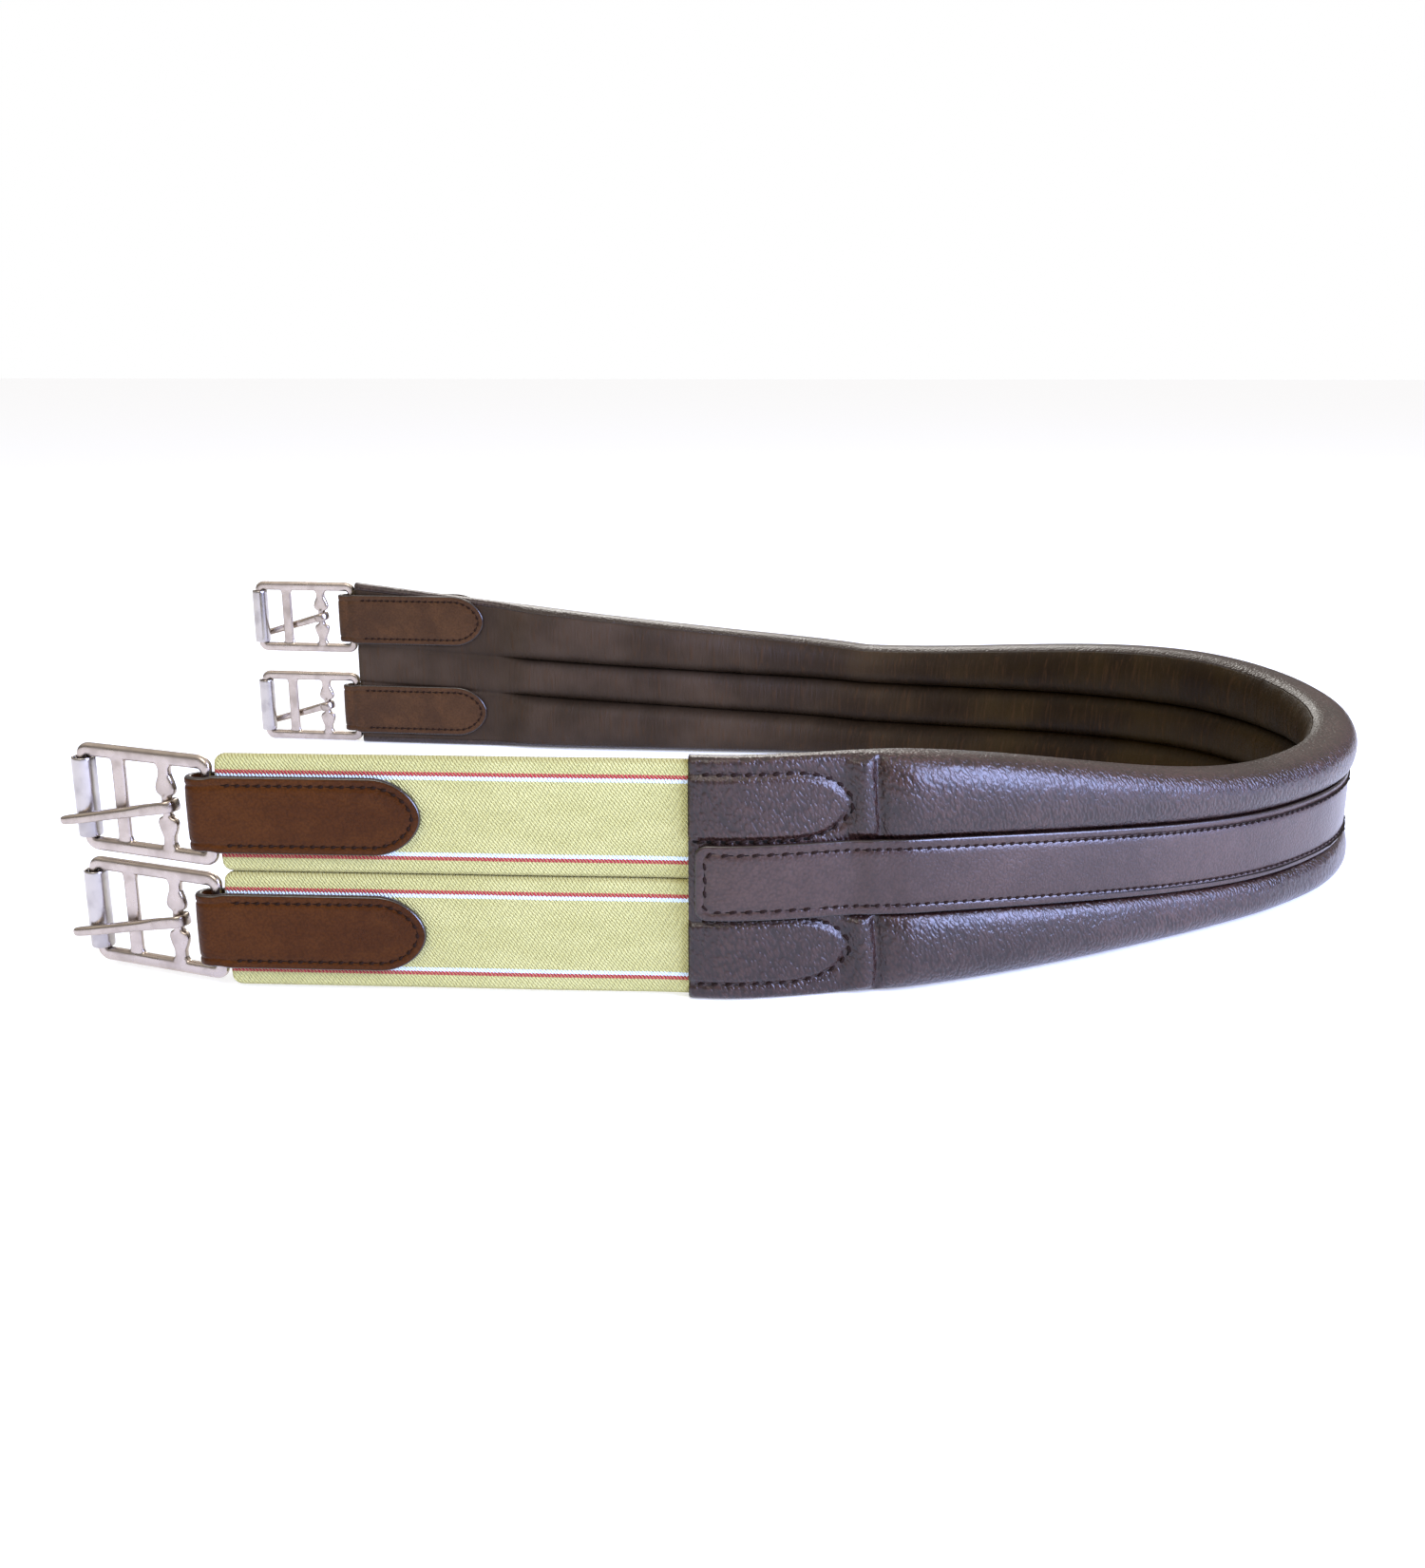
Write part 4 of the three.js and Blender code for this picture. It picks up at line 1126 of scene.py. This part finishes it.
def frame_loop():
    """The buckle's outer loop: two flat rails, the bar in the leather and the bar in the roller."""
    rail = BUCKLE_WIDTH / 2 - RAIL_INSET
    near, far, side = END_BAR + FRAME_CORNER, ROLLER_BAR - FRAME_CORNER, rail - FRAME_CORNER
    line = []
    for cx, cz, start in ((far, side, 0), (near, side, 90), (near, -side, 180), (far, -side, 270)):
        angle = np.radians(np.linspace(start, start + 90, 12))
        line.append(coords(cx + FRAME_CORNER * np.cos(angle), cz + FRAME_CORNER * np.sin(angle)))
    line = np.vstack([*line, line[0][:1]])
    along = distances(line)
    path = sample(line, along, np.linspace(0, along[-1], 260, endpoint=False))
    tangent = unit(np.roll(path, -1, axis=0) - np.roll(path, 1, axis=0))
    outward = coords(tangent[:, 1], -tangent[:, 0])
    is_rail = smooth(rail - 5, rail - 1.5, np.abs(path[:, 1]))
    halves, depths, powers = mix(2.25, 3.0, is_rail), mix(2.15, 2.0, is_rail), mix(2, 2.7, is_rail)
    rings = swept(path, outward, halves, depths, powers)
    points = np.vstack([*rings, rings[0]])
    return points, grid_faces(len(rings) + 1, len(SECTION), True)


def fused(shapes):
    """Points and faces of several shapes joined into one casting with small fillets."""
    points, faces = [], []
    for shape_points, shape_faces in shapes:
        faces += [tuple(i + len(points) for i in face) for face in shape_faces]
        points += shape_points.tolist()
    points, faces = tidy(points, faces)
    rough = make_object("rough_casting", points, faces, points, FRAME_LOOK)
    remesh = rough.modifiers.new("fuse", "REMESH")
    remesh.mode = "VOXEL"
    remesh.voxel_size = CASTING_VOXEL
    polish = rough.modifiers.new("polish", "SMOOTH")
    polish.factor = 0.5
    polish.iterations = CASTING_POLISH
    bpy.context.view_layer.update()
    mesh = bpy.data.meshes.new_from_object(rough.evaluated_get(bpy.context.evaluated_depsgraph_get()))
    points = np.array([vertex.co[:] for vertex in mesh.vertices])
    faces = [tuple(face.vertices) for face in mesh.polygons]
    bpy.data.objects.remove(rough)
    bpy.data.meshes.remove(mesh)
    return points, faces


def casting_mesh():
    """The frame: its loop, the vase-shaped bar that carries the tongue, and the keeper bar."""
    petal_heights, petal_halves = np.transpose(PETAL)
    heights = np.linspace(-BAR_HALF, BAR_HALF, 90)
    halves = np.interp(np.abs(heights), petal_heights, petal_halves)
    plate = smooth(4.0, 5.8, np.abs(heights))
    vase = cross_bar(TONGUE_BAR, heights, halves, mix(2.2, 1.9, plate), mix(2, 3.2, plate))
    heights = np.linspace(-BAR_HALF, BAR_HALF, 40)
    halves = 3.25 + 0.9 * smooth(15.5, 19, np.abs(heights))
    keeper = cross_bar(KEEPER_BAR, heights, halves, np.full(40, 1.45), np.full(40, 3.6))
    return fused([frame_loop(), vase, keeper])


def roller_mesh():
    """A sheet rolled into a tube, with an open seam and round edges."""
    turn = np.linspace(math.radians(4), math.radians(356), 72)
    section = full_turn(40)
    axial = ROLLER_LENGTH / 2 * squared(np.sin(section), 0.12)
    radius = ROLLER_RADIUS - ROLLER_WALL / 2 + ROLLER_WALL / 2 * squared(np.cos(section), 0.5)
    rings = np.array([coords(radius * math.cos(a), radius * math.sin(a), axial) for a in turn])
    return tidy(*capped_tube(rings))


def tongue_mesh():
    """A bar whose end is rolled round the neck, with a straight shank and a rounded tip."""
    loop = np.radians(np.linspace(-14, -270, 44))
    line = np.vstack([TONGUE_LOOP * coords(np.cos(loop), np.sin(loop)), TONGUE_SHANK])
    gaps = distances(line)
    end = gaps[-1]
    tip_turn = np.linspace(0, np.pi / 2, 10)[1:]
    body = np.linspace(0, end - TONGUE_TIP, 120)
    places = np.concatenate([body, end - TONGUE_TIP * (1 - np.sin(tip_turn))])
    path = sample(line, gaps, places)
    path[3:-3] = blurred(path, 3)
    along = places - gaps[len(loop)]
    left = np.clip((end - places) / TONGUE_TIP, 0, 1)
    size = np.sqrt(left * (2 - left)) * np.sqrt(np.clip(places / 0.5, 0.02, 1))
    deep = np.interp(along, *TONGUE_DEPTHS) * size + 0.02
    wide = np.interp(along, *TONGUE_HALVES) * size + 0.02
    rings = swept(path, left_of(runs_along(path)), deep, wide, np.full(len(path), 2.6))
    return tidy(*capped_tube(rings[..., [0, 2, 1]]))


class BuckleAxes:
    """A buckle's axes at rest, from its joints: x from the leather to the roller, y out of its face."""

    def __init__(self, name):
        joints = [JOINTS[kind + name] for kind in ("buckle_swivel_", "tongue_swing_", "roller_spin_")]
        self.bar, self.pivot, self.roller = (np.array(joint["pos_m"]) / MM for joint in joints)
        self.z = np.array(JOINTS["tongue_swing_" + name]["axis"], float)
        self.x = unit(self.roller - self.bar)
        self.y = np.cross(self.z, self.x)

    def place(self, points, origin, droop=0.0):
        """Points in the buckle's axes, turned down about y by droop, in the row frame in metres."""
        c, s = math.cos(droop), math.sin(droop)
        x = points[:, 0] * c + points[:, 2] * s
        z = points[:, 2] * c - points[:, 0] * s
        return (origin + np.outer(x, self.x) + np.outer(points[:, 1], self.y) + np.outer(z, self.z)) * MM


def build_buckles():
    casting = casting_mesh()
    roller = roller_mesh()
    tongue = tongue_mesh()
    shift = np.array([END_BAR, 0, 0])
    for name, droop in DROOPS.items():
        axes = BuckleAxes(name)
        frame_place = axes.place(casting[0] - shift, axes.bar)
        roller_place = axes.place(roller[0], axes.roller)
        tongue_place = axes.place(tongue[0], axes.pivot, math.radians(droop))
        made = (
            ("frame", casting, frame_place, FRAME_LOOK, "buckle_casting_"),
            ("roller", roller, roller_place, ROLLER_LOOK, "roller_sheet_"),
            ("tongue", tongue, tongue_place, TONGUE_LOOK, "tongue_bar_"),
        )
        for kind, (points, faces), placed, look, title in made:
            piece = make_object(title + name, placed, faces, points, look)
            fix_normals(piece)
            settle(piece, f"{kind}_{name}", kind + "_steel", f"buckle_{kind}_{name}")


# ---- hidden pieces


def dress_hidden():
    looks = dict.fromkeys(("foam_roll_upper", "foam_roll_lower", "foam_core"), FOAM_LOOK)
    looks |= dict.fromkeys(("tension_web", "end_stiffener"), WEB_LOOK)
    for name, look in looks.items():
        node = frame["nodes"][name]
        node.data.materials.clear()
        node.data.materials.append(look)


# ---- stage

CAMERA_PLACE = (0.0356, -0.825, 0.2625)
CAMERA_YAW = math.radians(2.86)
CAMERA_PITCH = math.radians(15.65)
LENS = 36
SENSOR = 36
FLOOR_HALF = 12
FLOOR_HEIGHT = -0.0004
FLOOR_TONE = (0.80, 0.84, 0.92, 1)
FLOOR_GLOW = 0.33
WHITE = (1, 1, 1, 1)
REFLECTED_TONE = (1.0, 0.94, 0.86, 1)
# Each light's name, place, target, size, power and colour.
LIGHTS = (
    ("window", (1.75, -1.0, 0.85), (0.15, -0.05, 0.05), 1.4, 120, (0.48, 0.56, 1.0)),
    ("fill", (-0.5, -1.5, 1.7), (0.0, -0.1, 0.05), 1.2, 16, (1.0, 0.95, 0.88)),
    ("back", (-0.3, 2.0, 1.3), (0.0, 0.1, 0.05), 1.4, 24, (1.0, 0.97, 0.93)),
)


def link_object(name, data):
    made = bpy.data.objects.new(name, data)
    bpy.context.scene.collection.objects.link(made)
    return made


def build_floor():
    signs = ((-1, -1), (1, -1), (1, 1), (-1, 1))
    corners = [(FLOOR_HALF * x, FLOOR_HALF * y, FLOOR_HEIGHT) for x, y in signs]
    mesh = bpy.data.meshes.new("floor")
    mesh.from_pydata(corners, [], [(0, 1, 2, 3)])
    look = Look("floor", Base_Color=FLOOR_TONE, Roughness=0.85, Specular_IOR_Level=0.1)
    look.shade(Emission_Color=WHITE, Emission_Strength=FLOOR_GLOW)
    mesh.materials.append(look.material)
    link_object("floor", mesh)


def build_world():
    """A white backdrop for the camera. The metal mirrors it bright overhead and dim at the sides."""
    world = bpy.data.worlds.new("studio")
    bpy.context.scene.world = world
    world.use_nodes = True
    nodes = Nodes(world.node_tree)
    generated = nodes.node("TexCoord").outputs["Generated"]
    sky = nodes.step(nodes.node("SeparateXYZ", {0: generated}).outputs["Z"], 0.0, 0.75, 0.15, 0.92)
    seen = nodes.node("LightPath").outputs["Is Camera Ray"]
    background = nodes.tree.nodes["Background"]
    nodes.feed(background.inputs["Color"], nodes.blend(seen, REFLECTED_TONE, WHITE))
    strength = nodes.node("Mix", {0: seen, 2: sky, 3: 1.0}).outputs[0]
    nodes.feed(background.inputs["Strength"], strength)


def add_light(name, place, target, size, power, color):
    data = bpy.data.lights.new(name, "AREA")
    data.shape = "DISK"
    data.size = size
    data.energy = power
    data.color = color
    light = link_object(name, data)
    light.location = place
    light.rotation_euler = (Vector(target) - Vector(place)).to_track_quat("-Z", "Y").to_euler()


def build_camera():
    data = bpy.data.cameras.new("camera")
    data.lens = LENS
    data.sensor_width = SENSOR
    camera = link_object("camera", data)
    camera.location = CAMERA_PLACE
    level = math.cos(CAMERA_PITCH)
    view = Vector((-math.sin(CAMERA_YAW) * level, math.cos(CAMERA_YAW) * level, -math.sin(CAMERA_PITCH)))
    camera.rotation_euler = view.to_track_quat("-Z", "Y").to_euler()
    bpy.context.scene.camera = camera


# ---- the whole girth

build_cover()
build_lining()
build_strap()
build_tail_stitches()
build_elastics()

elastic_end = End(0, -1)
fixed_end = End(LENGTH, 1)
for level, sign in LEVELS:
    build_chape(
        elastic_end, "elastic_" + level, "elastic_end_" + level, END_WIDTH / 2 + sign * BUCKLE_PITCH,
        ELASTIC_LEG, ELASTIC / 2 + GAP, 1.0, CHAPE_LOOK,
    )
    build_chape(
        fixed_end, "fixed_" + level, "belt", FIXED_END_WIDTH / 2 + sign * FIXED_PITCH,
        FIXED_LEG, FLAT_HALF + GAP, SKIVED, TAB_LOOK,
    )
build_buckles()
dress_hidden()
build_floor()
build_world()
for light in LIGHTS:
    add_light(*light)
bpy.context.scene.view_settings.view_transform = "Standard"
build_camera()
